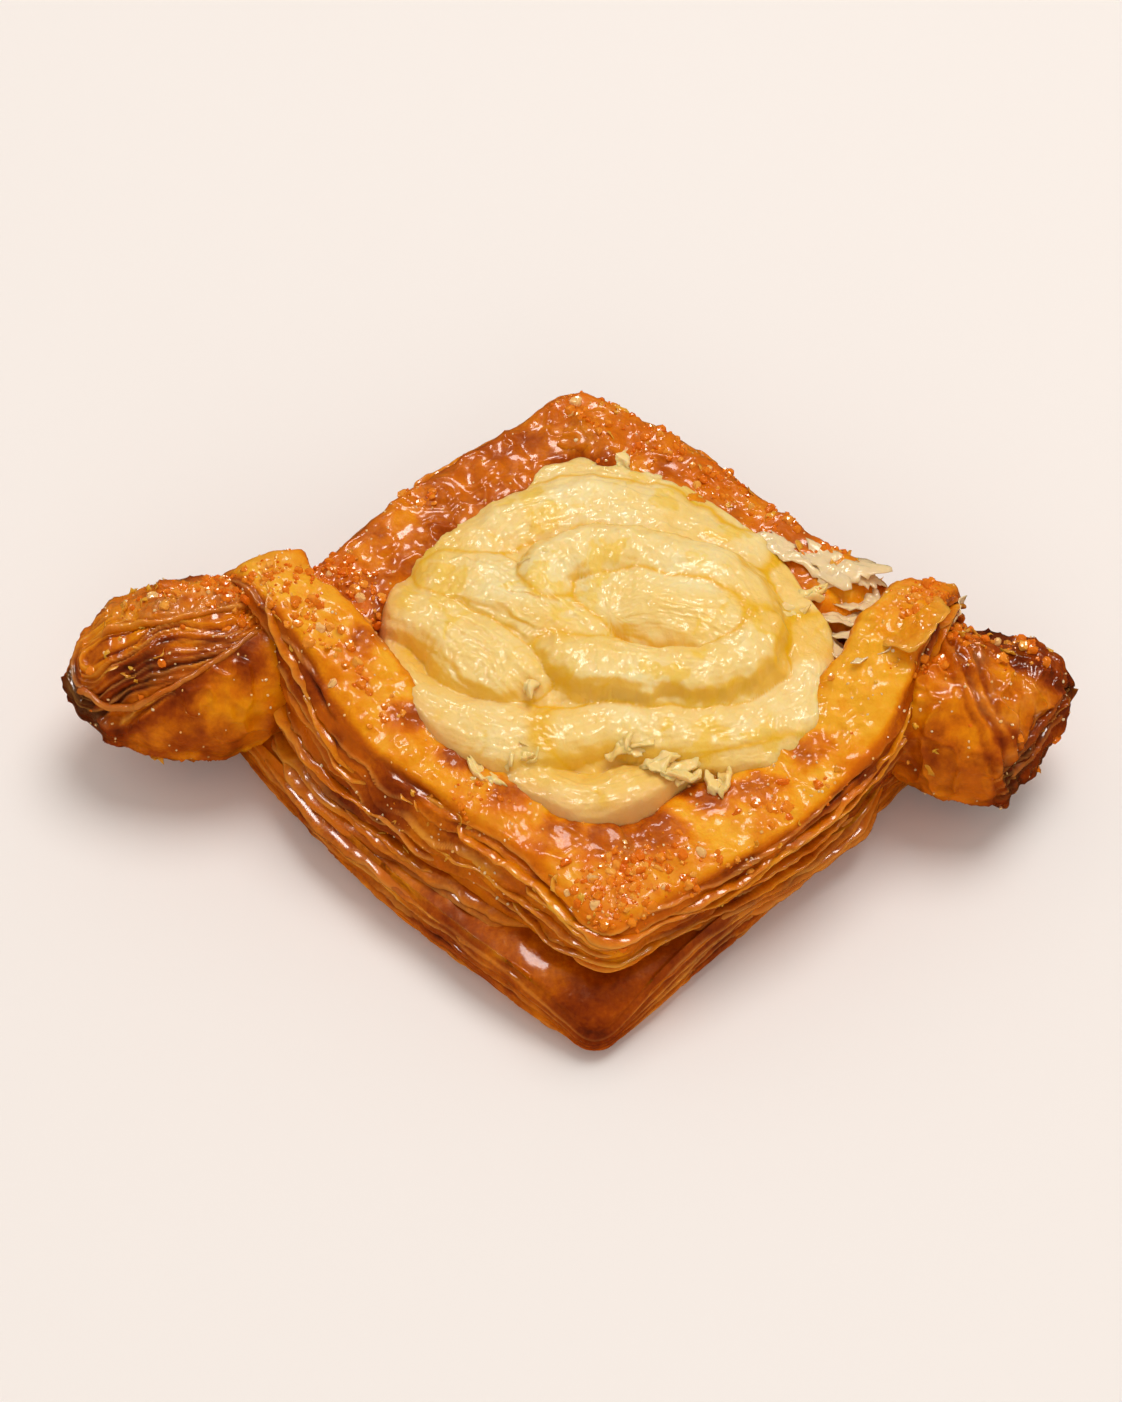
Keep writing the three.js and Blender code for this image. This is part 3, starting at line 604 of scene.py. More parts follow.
def back_strip_shape():
    """The back strip: more blistered and darker than the front one."""
    s = strip_rings(BACK_STRIP, 400, (34, 38, 28, 8))
    up = (s["n"] * 0.5 + 0.5) + 0 * s["mm"]
    relief, lip, gap_shade = leaf_edges(s["mm"], up, s["tall"], 6, 61, 0.9)
    p = s["p"]
    blister = bubbles(p, 3.4, 62, 0.6)
    small = bubbles(p, 1.5, 63, 0.5)
    top = np.clip(s["top"] + s["inner"], 0, 1)
    swell = 0.75 * fbm(p, 7, 3, 64)
    fold = 0.5 * np.abs(noise(s["mm"] / 6, s["a"] * 2.2, 65)) * s["top"]
    right = smooth(-2, 10, p[..., 0])
    skin = swell + 0.5 * blister + 0.25 * small * right + 0.4 * wrinkles(p, 4.5, 68)
    move = s["cut"] * relief + top * skin + fold
    p = clear_of_table(p + s["out"] * (move * s["ends"])[..., None])
    # Painted shade darkens the gaps between leaves; the lips are paler, partly their own colour and partly
    # painted highlight.
    bake = 0.5 + 0.2 * fbm(p, 6, 3, 66) + 0.12 * s["inner"] + s["cut"] * (0.1 + 0.3 * gap_shade - 0.2 * lip)
    bake = bake - 0.03 * right + 0.5 * stains(p, BACK_BROWN) - 0.3 * stains(p, BACK_PALE)
    orange = stains(p, BACK_STAINS) + 0.3 * smooth(0.1, 0.6, fbm(p, 5, 2, 67)) * top
    masks = {"bake": bake, "lip": lip * s["cut"], "orange": orange, "gloss": 0.7 + 0 * bake}
    return p, masks, s


BACK_STAINS = (
    (12, 43, 23, 6, 0.8), (22, 36, 23, 7, 0.9), (31, 26, 23, 6, 0.8), (-34, 16, 23, 6, 1.0),
    (-30, 10, 20, 6, 0.9), (38, 20, 22, 5, 0.7), (-14, 36, 22, 6, 0.5), (2, 48, 23, 5, 0.5),
)
BACK_BROWN = ((-29, 8.5, 21.7, 6, 1.0), (-31, 11, 22, 6, 0.8))
BACK_PALE = ((44.6, 11, 22, 7, 1.0),)


def base_outline(count):
    """The sheet's outline: a diamond with bowed sides and rounded corners."""
    pieces = []
    for i in range(4):
        corner, after, next_ = (BASE_CORNERS[(i + k) % 4] for k in range(3))
        side, following = unit(after - corner), unit(next_ - after)
        start, end = corner + side * BASE_CORNER_REACH, after - side * BASE_CORNER_REACH
        bow = (start + end) / 2 + np.array([side[1], -side[0]]) * 2 * BASE_BULGE[i]
        turned = after + following * BASE_CORNER_REACH
        w = np.linspace(0, 1, 120, endpoint=False)[:, None]
        for a, b, c in ((start, bow, end), (end, after, turned)):
            pieces.append(a * (1 - w) ** 2 + 2 * b * w * (1 - w) + c * w ** 2)
    p = np.vstack(pieces)
    closed = np.vstack([p, p[:1]])
    length = np.concatenate([[0], np.cumsum(np.linalg.norm(np.diff(closed, axis=0), axis=1))])
    spots = np.linspace(0, length[-1], count, endpoint=False)
    return np.stack([np.interp(spots, length, closed[:, k]) for k in (0, 1)], -1), spots


def base_corner(outline):
    """1 at the sheet's four corners, 0 between them."""
    return smooth(*BASE_CORNER_ZONE, np.linalg.norm(outline - BASE_MIDDLE, axis=1))


def base_sheet_shape():
    """The base sheet: a layered wall round its outline, a flat underside and a smooth domed front corner."""
    outline, along = base_outline(BASE_POINTS)
    wall = np.linspace(0.0, 1.0, 56)
    under = np.linspace(0.0, 0.85, 8)
    top = np.linspace(1.0, 0.45, 27)[1:]
    height = np.concatenate([0 * under, wall, 0 * top + 1])
    size = np.concatenate([under, 0 * wall + 1, top])
    bulge = np.concatenate([0 * under, 1 - np.abs(2 * wall - 1) ** 3.2, 0 * top])
    height, size, bulge = height[None], size[None], bulge[None]
    from_middle = outline - BASE_MIDDLE
    radius = np.linalg.norm(from_middle, axis=1)[:, None]
    corner = base_corner(outline)[:, None]
    onwall = (bulge > 0) * 1.0
    relief, lip, gap_shade = leaf_edges(along[:, None], height, BASE_THICKNESS, 6, 81, 0.75)
    seam = smooth(0, 1, np.minimum(along, along[-1] - along)[:, None] / 8)
    front = smooth(0, -30, outline[:, 1:2]) * corner
    quiet = 1 - 0.85 * front * smooth(0.2, 0.45, height)
    relief = relief * seam * quiet
    drop = (size < 1) * (height > 0.5)
    inward = (1 - size) * radius * drop
    dome = np.sqrt(np.clip(1 - np.clip(1 - inward / 7.0, 0, 1) ** 2, 0, 1))
    rise = BASE_THICKNESS * (1 - CORNER_SINK * corner) - 2.2 * front
    z = height * rise * (1 - 0.18 * drop * (1 - dome))
    pillow = np.sqrt(np.clip(1 - np.clip(1 - inward / 11.0, 0, 1) ** 2, 0, 1))
    covered = z - (rise - BASE_FLOOR) * smooth(16, 24, inward) + 1.6 * corner * dome + 5.0 * front * pillow
    z = np.where(drop > 0, covered, z)
    tucked = ((1 - bulge) * 1.3 + 3.0 * smooth(0.32, 0.0, height)) * (size == 1)
    distance = radius * size - tucked + relief * bulge
    flat = BASE_MIDDLE + from_middle[:, None] / radius[..., None] * distance[..., None]
    p = np.concatenate([flat, z[..., None]], -1)
    p[..., 2] += drop * (0.35 * fbm(p, 6, 3, 82) + 0.2 * bubbles(p, 2.4, 83, 0.5))
    p = clear_of_table(p)
    bake = 0.6 + 0.16 * fbm(p, 8, 3, 84) + 0.3 * front * smooth(0.3, 0.9, height)
    # Painted shade darkens the gaps between leaves; the lips are paler, partly their own colour and partly
    # painted highlight.
    bake = bake + onwall * (0.3 * gap_shade - 0.22 * lip) * quiet - 0.14 * onwall * smooth(0.35, 0.1, height)
    bake = bake - 0.2 * drop * smooth(-25, -45, p[..., 0])
    orange = stains(p, ((-41, -9, 10, 5, 1.0), (-46, -3, 10, 4, 0.7), (16, -50, 9, 3, 0.6)))
    gloss = 0.6 + 0.4 * front + 0 * bake
    return p, {"bake": bake, "lip": lip * onwall * quiet, "orange": orange, "gloss": gloss}


def base_leaves():
    """The parted layers round the base sheet's wall, quieter at the domed front corner."""
    outline, mm = base_outline(BASE_POINTS)
    ahead, behind = np.roll(outline, -1, 0), np.roll(outline, 1, 0)
    way = unit(ahead - behind)
    out = np.stack([way[:, 1], -way[:, 0], 0 * way[:, 0]], -1)
    out *= np.sign((out[:, :2] * (outline - BASE_MIDDLE)).sum(1))[:, None]
    up = np.broadcast_to(UPRIGHT, out.shape)
    dome = smooth(13, 7, np.linalg.norm(outline - BASE_CORNERS[1], axis=1))
    sink = 1 - 0.25 * dome - CORNER_SINK * base_corner(outline) * (1 - dome)
    seam = smooth(0, 1, np.minimum(mm, mm[-1] - mm) / 5)
    parts = []
    for i, z in enumerate((0.9, 2.6, 4.4, 6.3, 8.1)):
        wander = seam * (0.4 * noise(mm / 14, i * 3.1, 0, 141) + 0.2 * noise(mm / 4, i * 2.3, 1, 141))
        reach = seam * (0.15 + 0.45 * noise(mm / 9, i * 4.7, 2, 141) + 0.35 * noise(mm / 3, i * 5.3, 3, 141)
                        + 0.1 * noise(mm / 1.1, i * 3.3, 4, 141))
        reach = reach - dome * (1.5 if i > 1 else 0.2)
        flat = outline - out[:, :2] * (0.35 + 2.8 * smooth(3.2, 0, z))
        path = np.column_stack([flat, np.maximum(z * sink + wander, 0.35)])
        masks = {"bake": 0.56 - 0.12 * (i < 2) + 0.16 * noise(mm / 8, i * 2.9, 5, 141) + 0.15 * dome,
                 "lip": np.clip(0.5 + 0.5 * noise(mm / 6, i * 8.1, 6, 141), 0, 1),
                 "orange": 0.7 * smooth(0.1, 0.6, noise(mm / 9, i * 4.1, 7, 141)), "gloss": 0.8}
        curl = 0.15 * noise(mm / 4, i * 6.7, 8, 141)
        parts.append(ribbon(path, out, up, np.maximum(reach, -1.2), 1.5, 0.62, curl, masks))
    return parts


def knot_shares(rings):
    """Shares along a knot, closer together at its ends."""
    even = np.linspace(0, 1, rings)
    return even + 0.5 * (0.5 - 0.5 * np.cos(np.pi * even) - even)


def knot_angles(low, high):
    """Angles round a knot, closer together from low to high degrees."""
    dense = int(KNOT_AROUND * 0.68)
    near = np.linspace(low, high, dense, endpoint=False)
    far = np.linspace(high, low + 360, KNOT_AROUND - dense, endpoint=False)
    return np.radians(np.concatenate([near, far]))


def knot_surface(stations, rings, angle):
    """A knot's smooth surface: rings along it and points round it, from an angle of 0 at the back."""
    around = len(angle)
    share = knot_shares(rings)
    middle = curve_points(stations[:, :3], share)
    closed = ((1 - np.clip(2 * np.abs(share - 0.5), 0, 0.9995) ** 6) ** 0.5)[:, None]
    wide = blend(stations[:, 3], share)[:, None] * closed
    tall = blend(stations[:, 4], share)[:, None] * closed
    p = np.stack([np.broadcast_to(middle[:, :1], (rings, around)),
                  middle[:, 1:2] + wide * np.cos(angle)[None],
                  middle[:, 2:3] + tall * np.sin(angle)[None]], -1)
    out = grid_normals(p)
    out = out * np.sign(((p - middle[:, None]) * out).sum(-1).mean())
    mm = np.concatenate([[0], np.cumsum(np.linalg.norm(np.diff(middle, axis=0), axis=1))])
    return p, out, share[:, None], np.degrees(angle)[None] % 360, mm[:, None]


def on_knot(stations, line, count):
    """Points, outward and sideways directions along a line of share and angle in degrees on a knot."""
    around = np.linspace(0, 2 * np.pi, TRACK_COLUMNS, endpoint=False)
    p, out, share, _, _ = knot_surface(stations, TRACK_ROWS, around)
    track = np.array([(u, a / 100, 0) for u, a in line])
    t, mm = even_shares(lambda q: curve_points(track, q), count)
    track = curve_points(track, t)
    row = np.interp(np.clip(track[:, 0], 0, 1), share[:, 0], np.arange(TRACK_ROWS))
    col = (track[:, 1] * 100 / 360 * TRACK_COLUMNS) % TRACK_COLUMNS
    r0, c0 = np.minimum(row.astype(int), TRACK_ROWS - 2), col.astype(int)
    fr, fc = (row - r0)[:, None], (col - c0)[:, None]

    def sample(grid):
        c1 = (c0 + 1) % TRACK_COLUMNS
        return ((grid[r0, c0] * (1 - fc) + grid[r0, c1] * fc) * (1 - fr)
                + (grid[r0 + 1, c0] * (1 - fc) + grid[r0 + 1, c1] * fc) * fr)
    path, outward = sample(p), unit(sample(out))
    ahead = unit(np.gradient(path, axis=0))
    sideways = unit(np.cross(outward, ahead))
    mm = np.concatenate([[0], np.cumsum(np.linalg.norm(np.diff(path, axis=0), axis=1))])
    return path, outward, sideways, mm


def knot_folds(stations, folds, seed):
    """Leaves of dough folded round a knot. Each fold: line, reach, thickness, bake, lip, orange."""
    parts = []
    for i, (line, reach, thick, bake, lip, orange) in enumerate(folds):
        path, outward, sideways, mm = on_knot(stations, line, 150)
        ends = smooth(0, 3.5, mm) * smooth(0, 3.5, mm[-1] - mm)
        sway = 0.35 * noise(mm / 7, i * 3.3, 0, seed) + 0.12 * noise(mm / 2, i * 4.1, 1, seed)
        path = path + sideways * sway[:, None]
        out = reach * (0.85 + 0.35 * noise(mm / 6, i * 2.7, 2, seed) + 0.2 * noise(mm / 2, i * 5.7, 3, seed))
        out = out + 0.12 * noise(mm / 0.9, i * 3.9, 4, seed)
        width = thick * (1 + 0.25 * noise(mm / 5, i * 6.1, 5, seed)) * (0.35 + 0.65 * ends)
        curl = 0.25 * noise(mm / 4, i * 7.9, 6, seed)
        masks = {"bake": bake + 0.12 * noise(mm / 5, i * 2.1, 7, seed),
                 "lip": lip * (0.7 + 0.5 * noise(mm / 4, i * 1.7, 8, seed)),
                 "orange": orange * smooth(-0.3, 0.5, noise(mm / 6, i * 3.1, 9, seed)), "gloss": 0.95}
        reach = out * ends - 1.2 * (1 - ends)
        parts.append(ribbon(path, outward, sideways, reach, 1.8, width, curl * ends, masks))
    return parts


# Lines round the left knot, each by its share of the way out and its angle: the upper edge of the band of
# layers, its two lower edges and its middle.
BAND_TOP = [(0.20, 78), (0.296, 88), (0.407, 92), (0.523, 96), (0.648, 94), (0.774, 96), (0.88, 112)]
BAND_FOOT = [(0.16, 99), (0.221, 110), (0.312, 122), (0.402, 134), (0.482, 144), (0.553, 152), (0.618, 160),
             (0.719, 161), (0.82, 156), (0.92, 156)]
BAND_LAP = [(0.42, 141), (0.49, 150), (0.56, 162), (0.63, 178), (0.71, 178), (0.80, 170), (0.90, 168)]
BAND_MIDDLE = [(0.26, 84), (0.42, 94), (0.60, 103), (0.78, 112)]
# Lines round the right knot: where the skin near the strip ends, the brown crest, and two folds.
SKIN_END = [(0.27, 50), (0.322, 76), (0.357, 97), (0.397, 112), (0.447, 127), (0.482, 144), (0.508, 160),
            (0.53, 182)]
CREST = [(0.36, 36), (0.46, 40), (0.54, 50), (0.613, 70), (0.729, 87), (0.834, 106), (0.93, 128)]
FACE_FOLD = [(0.93, 128), (0.86, 138), (0.78, 150), (0.69, 158), (0.61, 162), (0.54, 166), (0.50, 176)]
FOOT_FOLD = [(0.95, 160), (0.88, 172), (0.79, 178), (0.69, 176), (0.61, 178), (0.54, 184)]
# The folds that stand out: line, reach, thickness, bake, lip and orange.
LEFT_FOLDS = ((BAND_TOP[:6], 0.6, 1.0, 0.4, 0.9, 0.2), (BAND_FOOT, 0.7, 1.1, 0.55, 0.7, 0.3))
RIGHT_FOLDS = ((FACE_FOLD, 0.5, 1.5, 0.8, 0.3, 0.1), (FOOT_FOLD, 0.6, 1.2, 0.7, 0.5, 0.1))


def angle_of(line, share):
    """The angle of a fold line at each share along a knot."""
    points = np.array(sorted(line))
    return np.interp(share, points[:, 0], points[:, 1])


def off_table(turn):
    """1 round a knot's back, top and front, 0 at its underside."""
    return smooth(262, 235, turn)


def left_knot_shape():
    """The left knot: a band of layers wound round it between a sugared top and a smooth belly."""
    p, out, share, turn, mm = knot_surface(LEFT_KNOT, KNOT_RINGS, knot_angles(48, 212))
    upper, lower = angle_of(BAND_TOP, share), angle_of(BAND_FOOT, share)
    lower = np.maximum(lower, angle_of(BAND_LAP, share) * (share > 0.45))
    upper = upper - 44 * smooth(0.55, 0.85, share)
    lower = lower + 34 * smooth(0.7, 0.92, share)
    band = smooth(-2, 2, turn - upper) * smooth(2, -2, turn - lower)
    belly = smooth(-2, 4, turn - lower) * off_table(turn)
    top = np.clip(1 - band - belly, 0, 1) * off_table(np.where(turn > 262, 0, turn))
    rest = np.clip(1 - band - belly - top, 0, 1)
    axis = on_knot(LEFT_KNOT, BAND_MIDDLE, 40)[0]
    apart = np.sqrt(((p[:, :, None] - axis[None, None]) ** 2).sum(-1).min(-1))
    below = smooth(-8, 8, turn - angle_of(BAND_MIDDLE, share))
    level = np.clip((apart + 0.9 * fbm(p, 7, 2, 92)) / 14, 0, 1)
    layers, lip, gap_shade = leaf_edges(mm, level, 14.0, 13, 91, 0.7)
    fine = 0.14 * noise(level * 30 + 1.2 * noise(mm / 6, level * 3, 0, 86), mm / 9, 0, 87)
    relief = band * (0.9 * layers + fine - 0.3) + 0.45 * belly * np.sqrt(np.clip((turn - lower) / 40, 0, 1))
    crust = 0.6 * fbm(p, 4.5, 3, 93) + 0.3 * bubbles(p, 2.8, 97, 0.5) + 0.35 * wrinkles(p, 3.2, 90)
    relief = relief + top * crust
    relief = relief + belly * (0.5 * fbm(p, 7, 3, 94) + 0.7 * wrinkles(p, 4.4, 89))
    relief = relief + rest * 0.5 * fbm(p, 5, 2, 98)
    p = clear_of_table(p + out * (relief * smooth(0, 0.06, share))[..., None])
    low = smooth(8, 2, p[..., 2])
    streak = 0.16 * noise(level * 11, mm / 9, 0, 99) + 0.12 * noise(level * 26, mm / 6, 0, 100)
    deep = 0.46 + below * 0.36 * bell(level - 0.5, 0.3) + 0.2 * smooth(0.75, 0.95, share)
    # In the band, painted shade darkens the gaps between leaves; the lips are paler, partly their own colour and
    # partly painted highlight.
    bake = 0.44 * top + band * (deep + streak + 0.3 * gap_shade - 0.25 * lip) + belly * (0.48 + 0.2 * low) + rest * 0.6
    bake = bake + 0.22 * fbm(p, 5, 3, 95) + 0.2 * smooth(0.8, 1.0, share)
    bake = bake + belly * (0.3 * smooth(0.45, 0.75, share) + 0.3 * smooth(22, 2, turn - lower))
    bake = bake - 0.12 * belly * smooth(3, 7, p[..., 2]) * smooth(11, 7, p[..., 2])
    orange = stains(p, ((-57, 10, 27, 4, 0.9), (-50, 9, 27, 3.5, 0.8), (-48, 3, 23, 3, 0.5)))
    orange = orange + 0.5 * band * smooth(0.1, 0.6, noise(level * 5, mm / 8, 3, 99))
    lip = np.maximum(lip * band, 0.7 * top * wrinkles(p, 5.0, 96))
    return p, {"bake": bake, "lip": lip, "orange": orange, "gloss": 0.75 + 0.25 * band}


def right_knot_shape():
    """The right knot: a pale skin near the strip, three diagonal ridges with painted shade in the grooves
    between them, a smooth face and a brown crest.
    """
    p, out, share, turn, mm = knot_surface(RIGHT_KNOT, KNOT_RINGS, knot_angles(36, 204))
    crest, edge = angle_of(CREST, share) + 24, angle_of(FACE_FOLD, share) - 4
    split = np.interp(turn, *np.array(sorted((a, u) for u, a in SKIN_END)).T)
    shown = smooth(30, 50, turn) * off_table(turn)
    skin_side = smooth(0.02, -0.02, share - split) * shown
    dark = smooth(7, -13, turn - crest) * smooth(-60, -20, turn) + smooth(-4, 6, turn - edge) * off_table(turn)
    dark = np.clip(np.maximum(dark, smooth(0.78, 0.94, share) * off_table(turn)), 0, 1) * (1 - skin_side)
    face = np.clip(1 - dark - skin_side, 0, 1) * off_table(turn)
    rest = smooth(235, 262, turn)
    edge_level = np.clip((turn - edge) / 38, 0, 1)
    layers, lip, gap_shade = leaf_edges(mm, edge_level, 8.0, 5, 101, 0.7)
    low_edge = smooth(0, 5, turn - edge) * smooth(6, -4, turn - edge - 38) * (1 - skin_side)
    relief = face * (0.8 * fbm(p, 5, 3, 102) - 0.3 + 0.9 * wrinkles(p, 4.2, 108)) + low_edge * (layers - 0.2)
    relief = relief + skin_side * (0.5 * fbm(p, 6, 3, 103) + 0.7 * wrinkles(p, 4.6, 109))
    relief = relief + dark * (0.7 * fbm(p, 5, 3, 104) + 0.6 * wrinkles(p, 3.6, 110))
    relief = relief + 0.3 * bubbles(p, 2.6, 107, 0.35) * (face + dark)
    across = (share - split + 0.012 * fbm(p, 4, 2, 111)) * shown + (turn < 30) + (turn > 262)
    for k, place in enumerate((0.02, 0.075, 0.125)):
        relief = relief + (1.1 - 0.3 * k) * bell(across - place, 0.022)
    p = clear_of_table(p + out * (relief * smooth(0, 0.06, share))[..., None])
    bake = 0.5 * face + 0.78 * dark + 0.46 * skin_side + 0.6 * rest + 0.22 * fbm(p, 5, 3, 105)
    # Painted shade darkens the gaps between leaves; the lips are paler, partly their own colour and partly
    # painted highlight.
    bake = bake + low_edge * (0.2 * gap_shade - 0.25 * lip) + 0.16 * smooth(0.85, 1.0, share)
    # Painted shade: thin darker lines in the grooves between the three ridges.
    bake = bake + 0.22 * (bell(across + 0.012, 0.015) + bell(across - 0.048, 0.015) + bell(across - 0.1, 0.015))
    orange = stains(p, ((60, 5, 25, 6, 0.9), (53.5, -6, 25, 4, 1.0), (66, 4, 22, 4, 0.5), (64, -9, 19, 4, 0.6)))
    orange = (orange + 0.5 * skin_side * smooth(0, 0.6, fbm(p, 4, 2, 106))) * (1 - 0.75 * dark)
    lip = np.maximum(lip * low_edge, 0.4 * face * wrinkles(p, 3.4, 108))
    return p, {"bake": bake, "lip": lip, "orange": orange, "gloss": 1.0 - 0.3 * skin_side}


def lining_shape():
    """The dough inside the pastry, round and under the custard's rim."""
    rim = curve_points(CUSTARD_RIM, np.linspace(0, 1, 361)[:-1], True)
    size = np.array([1.26, 1.2, 1.12, 1.05, 1.0, 0.96, 0.92, 0.86, 0.8])[:, None]
    drop = np.array([5.0, 3.9, 3.0, 2.6, 2.8, 3.4, 4.5, 7.5, 11])[:, None]
    flat = CUSTARD_MIDDLE + (rim[None, :, :2] - CUSTARD_MIDDLE) * size[..., None]
    p = np.concatenate([flat, (rim[None, :, 2] - drop)[..., None]], -1)
    p[..., 2] += 0.5 * fbm(p, 5, 3, 151)
    under = p[::-1].copy()
    under[..., 2] = np.maximum(under[..., 2] - 3.0, 8.0)
    p = np.concatenate([p, under[[0, -1]]])
    bake = 0.6 + 0.2 * fbm(p, 6, 3, 152)
    orange = smooth(-0.1, 0.5, fbm(p, 6, 2, 153))
    return p, {"bake": bake, "lip": 0 * bake, "orange": orange, "gloss": 0.9 + 0 * bake}


def roll_heights(x, y):
    """Each roll's surface over the plan, with the way across and along it, its reach and its brush marks."""
    for number, (reach, marks, path) in enumerate(CUSTARD_ROLLS):
        best, side = np.full(x.shape, -1e9), np.zeros(x.shape)
        along, done = np.zeros(x.shape), 0.0
        path = curve_points(np.array(path), np.linspace(0, 1, 6 * len(path)))
        for a, b in zip(path, path[1:]):
            dx, dy = b[0] - a[0], b[1] - a[1]
            length = math.hypot(dx, dy)
            free = ((x - a[0]) * dx + (y - a[1]) * dy) / length ** 2
            share = np.clip(free, 0, 1)
            offx, offy = x - a[0] - share * dx, y - a[1] - share * dy
            place = done + share * length
            radius = reach * (1 + 0.13 * noise(place / 7, number * 3.7, seed=115))
            away = np.hypot(offx, offy)
            round_ = radius - np.sqrt(np.clip(radius ** 2 - away ** 2, 0, None))
            drop = 0.62 * round_ + 1.5 * np.maximum(away - 0.97 * radius, 0)
            crown = a[2] + (b[2] - a[2]) * share - drop
            near = crown > best
            best = np.where(near, crown, best)
            side = np.where(near, ((x - a[0]) * dy - (y - a[1]) * dx) / length, side)
            along = np.where(near, done + free * length, along)
            done += length
        yield best, side, along, marks


def steepness(z, flat):
    """How steeply heights z rise over the ringed plan flat."""
    out = np.linalg.norm(np.gradient(flat, axis=0), axis=-1)
    round_ = np.linalg.norm(np.roll(flat, -1, 1) - np.roll(flat, 1, 1), axis=-1)
    return np.hypot(np.gradient(z, axis=0) / np.maximum(out, 0.02),
                    (np.roll(z, -1, 1) - np.roll(z, 1, 1)) / np.maximum(round_, 0.02))


def custard_shape():
    """The custard: its body and its rolls melted into each other, with brush marks, and a foot under its rim."""
    around, rings = 540, 137
    shares = even_shares(lambda s: curve_points(CUSTARD_RIM, s, True), around + 1)[0][:-1]
    rim = curve_points(CUSTARD_RIM, shares, True)
    r = np.linspace(0.004, 1.05, rings)
    r = r ** 0.72 * 1.05 ** 0.28
    reached = CUSTARD_MIDDLE + (rim[None, :, :2] - CUSTARD_MIDDLE) * r[:, None, None]
    x, y = reached[..., 0], reached[..., 1]
    flat = np.stack([x, y, 0 * x], -1)
    wx = x + 1.0 * fbm(flat, 8, 2, 111) + 0.25 * fbm(flat, 2, 2, 113)
    wy = y + 1.0 * fbm(flat, 8, 2, 112) + 0.25 * fbm(flat, 2, 2, 114)
    (cx, cy), crown, fall, reach = CUSTARD_BODY
    body = crown - fall * ((x - cx) ** 2 + (y - cy) ** 2) / reach ** 2 + 0.5 * fbm(flat, 5, 3, 116)
    high, mark = [body], [0.25 * fbm(flat, 1.5, 2, 117)]
    for i, (height, side, along, marks) in enumerate(roll_heights(wx, wy)):
        bend = side + 0.7 * noise(along / 6, side / 3, i * 2.0, 121)
        streak = noise(bend / 0.75, along / 14, i * 3.3, 120) + 0.7 * noise(bend / 0.33, along / 9, i * 5.1, 122)
        high.append(height)
        mark.append(marks * 0.11 * streak)
    high, mark = np.array(high), np.array(mark)
    best = high.max(0)
    weight = np.exp(np.maximum(ROLL_SHARPNESS * (high - best), -40))
    melted = np.log(weight.sum(0))
    z = best + melted / ROLL_SHARPNESS + (mark * weight).sum(0) / weight.sum(0)
    crease = smooth(0.08, 0.8, melted)
    slope = steepness(z, flat)
    place = np.stack([x, y, z], -1)
    z = z + 0.3 * fbm(place, 4.5, 3, 125) + 0.07 * fbm(place, 0.8, 2, 127)
    z = z - 5.0 * smooth(0.965, 1.05, r)[:, None]
    below = []
    for size, lowered in ((1.03, 2.0), (0.95, 4.0), (0.88, 99)):
        foot = CUSTARD_MIDDLE + (rim[:, :2] - CUSTARD_MIDDLE) * size
        below.append(np.column_stack([foot, np.maximum(z[-1] - lowered, CUSTARD_FOOT)]))
    p = np.concatenate([np.stack([x, y, z], -1), np.stack(below)])
    strayed = p + 2.2 * np.stack([fbm(p, 3, 2, 134), fbm(p, 3, 2, 135), 0 * p[..., 2]], -1)
    foot = np.zeros((len(below), around))
    lemon = smooth(0.3, 0.8, fbm(strayed, 4.2, 4, 132))
    # In the creases the lemon colour deepens as painted shade.
    lemon = np.maximum(lemon, 0.9 * np.concatenate([crease, foot]) * smooth(-0.3, 0.5, fbm(p, 7, 2, 133)))
    edge = np.concatenate([np.broadcast_to(smooth(0.88, 1.0, r)[:, None], x.shape), foot + 1])
    edge = edge * smooth(14, -10, p[..., 0] + 0.6 * p[..., 1])
    # Painted shade: a deeper, darker yellow in the creases between rolls, on the lower parts, on steep sides and
    # on the foot under the rim.
    low = 0.6 * smooth(27.0, 21.0, z)
    valley = np.maximum(np.maximum(crease, low), 0.8 * smooth(0.42, 1.15, slope))
    valley = np.concatenate([valley, foot + 1])
    return p, {"lemon": lemon, "valley": valley, "rim": edge, "cream": 1.1 + 0.7 * fbm(p, 10, 2, 131)}


# ---- materials

def srgb(code):
    """A linear colour from its web code."""
    parts = [int(code[i:i + 2], 16) / 255 for i in (1, 3, 5)]
    return [c / 12.92 if c <= 0.04045 else ((c + 0.055) / 1.055) ** 2.4 for c in parts] + [1.0]


def set_inputs(node, values):
    for key, value in values.items():
        node.inputs[key].default_value = value


def fill(tree, sockets, values):
    """Links each value that comes from a node to its socket, and sets the others on it."""
    for socket, value in zip(sockets, values):
        if isinstance(value, bpy.types.NodeSocket):
            tree.links.new(value, socket)
        else:
            socket.default_value = value


def math_node(tree, operation, *values, clamp=False):
    node = tree.nodes.new("ShaderNodeMath")
    node.operation, node.use_clamp = operation, clamp
    fill(tree, node.inputs, values)
    return node.outputs[0]


def mix_node(tree, factor, a, b):
    """Colour a, with colour b over it as far as factor says."""
    node = tree.nodes.new("ShaderNodeMix")
    node.data_type = "RGBA"
    fill(tree, (node.inputs["Factor"], node.inputs[6], node.inputs[7]), (factor, a, b))
    return node.outputs[2]


def attribute(tree, name):
    node = tree.nodes.new("ShaderNodeAttribute")
    node.attribute_name = name
    return node.outputs["Fac"]


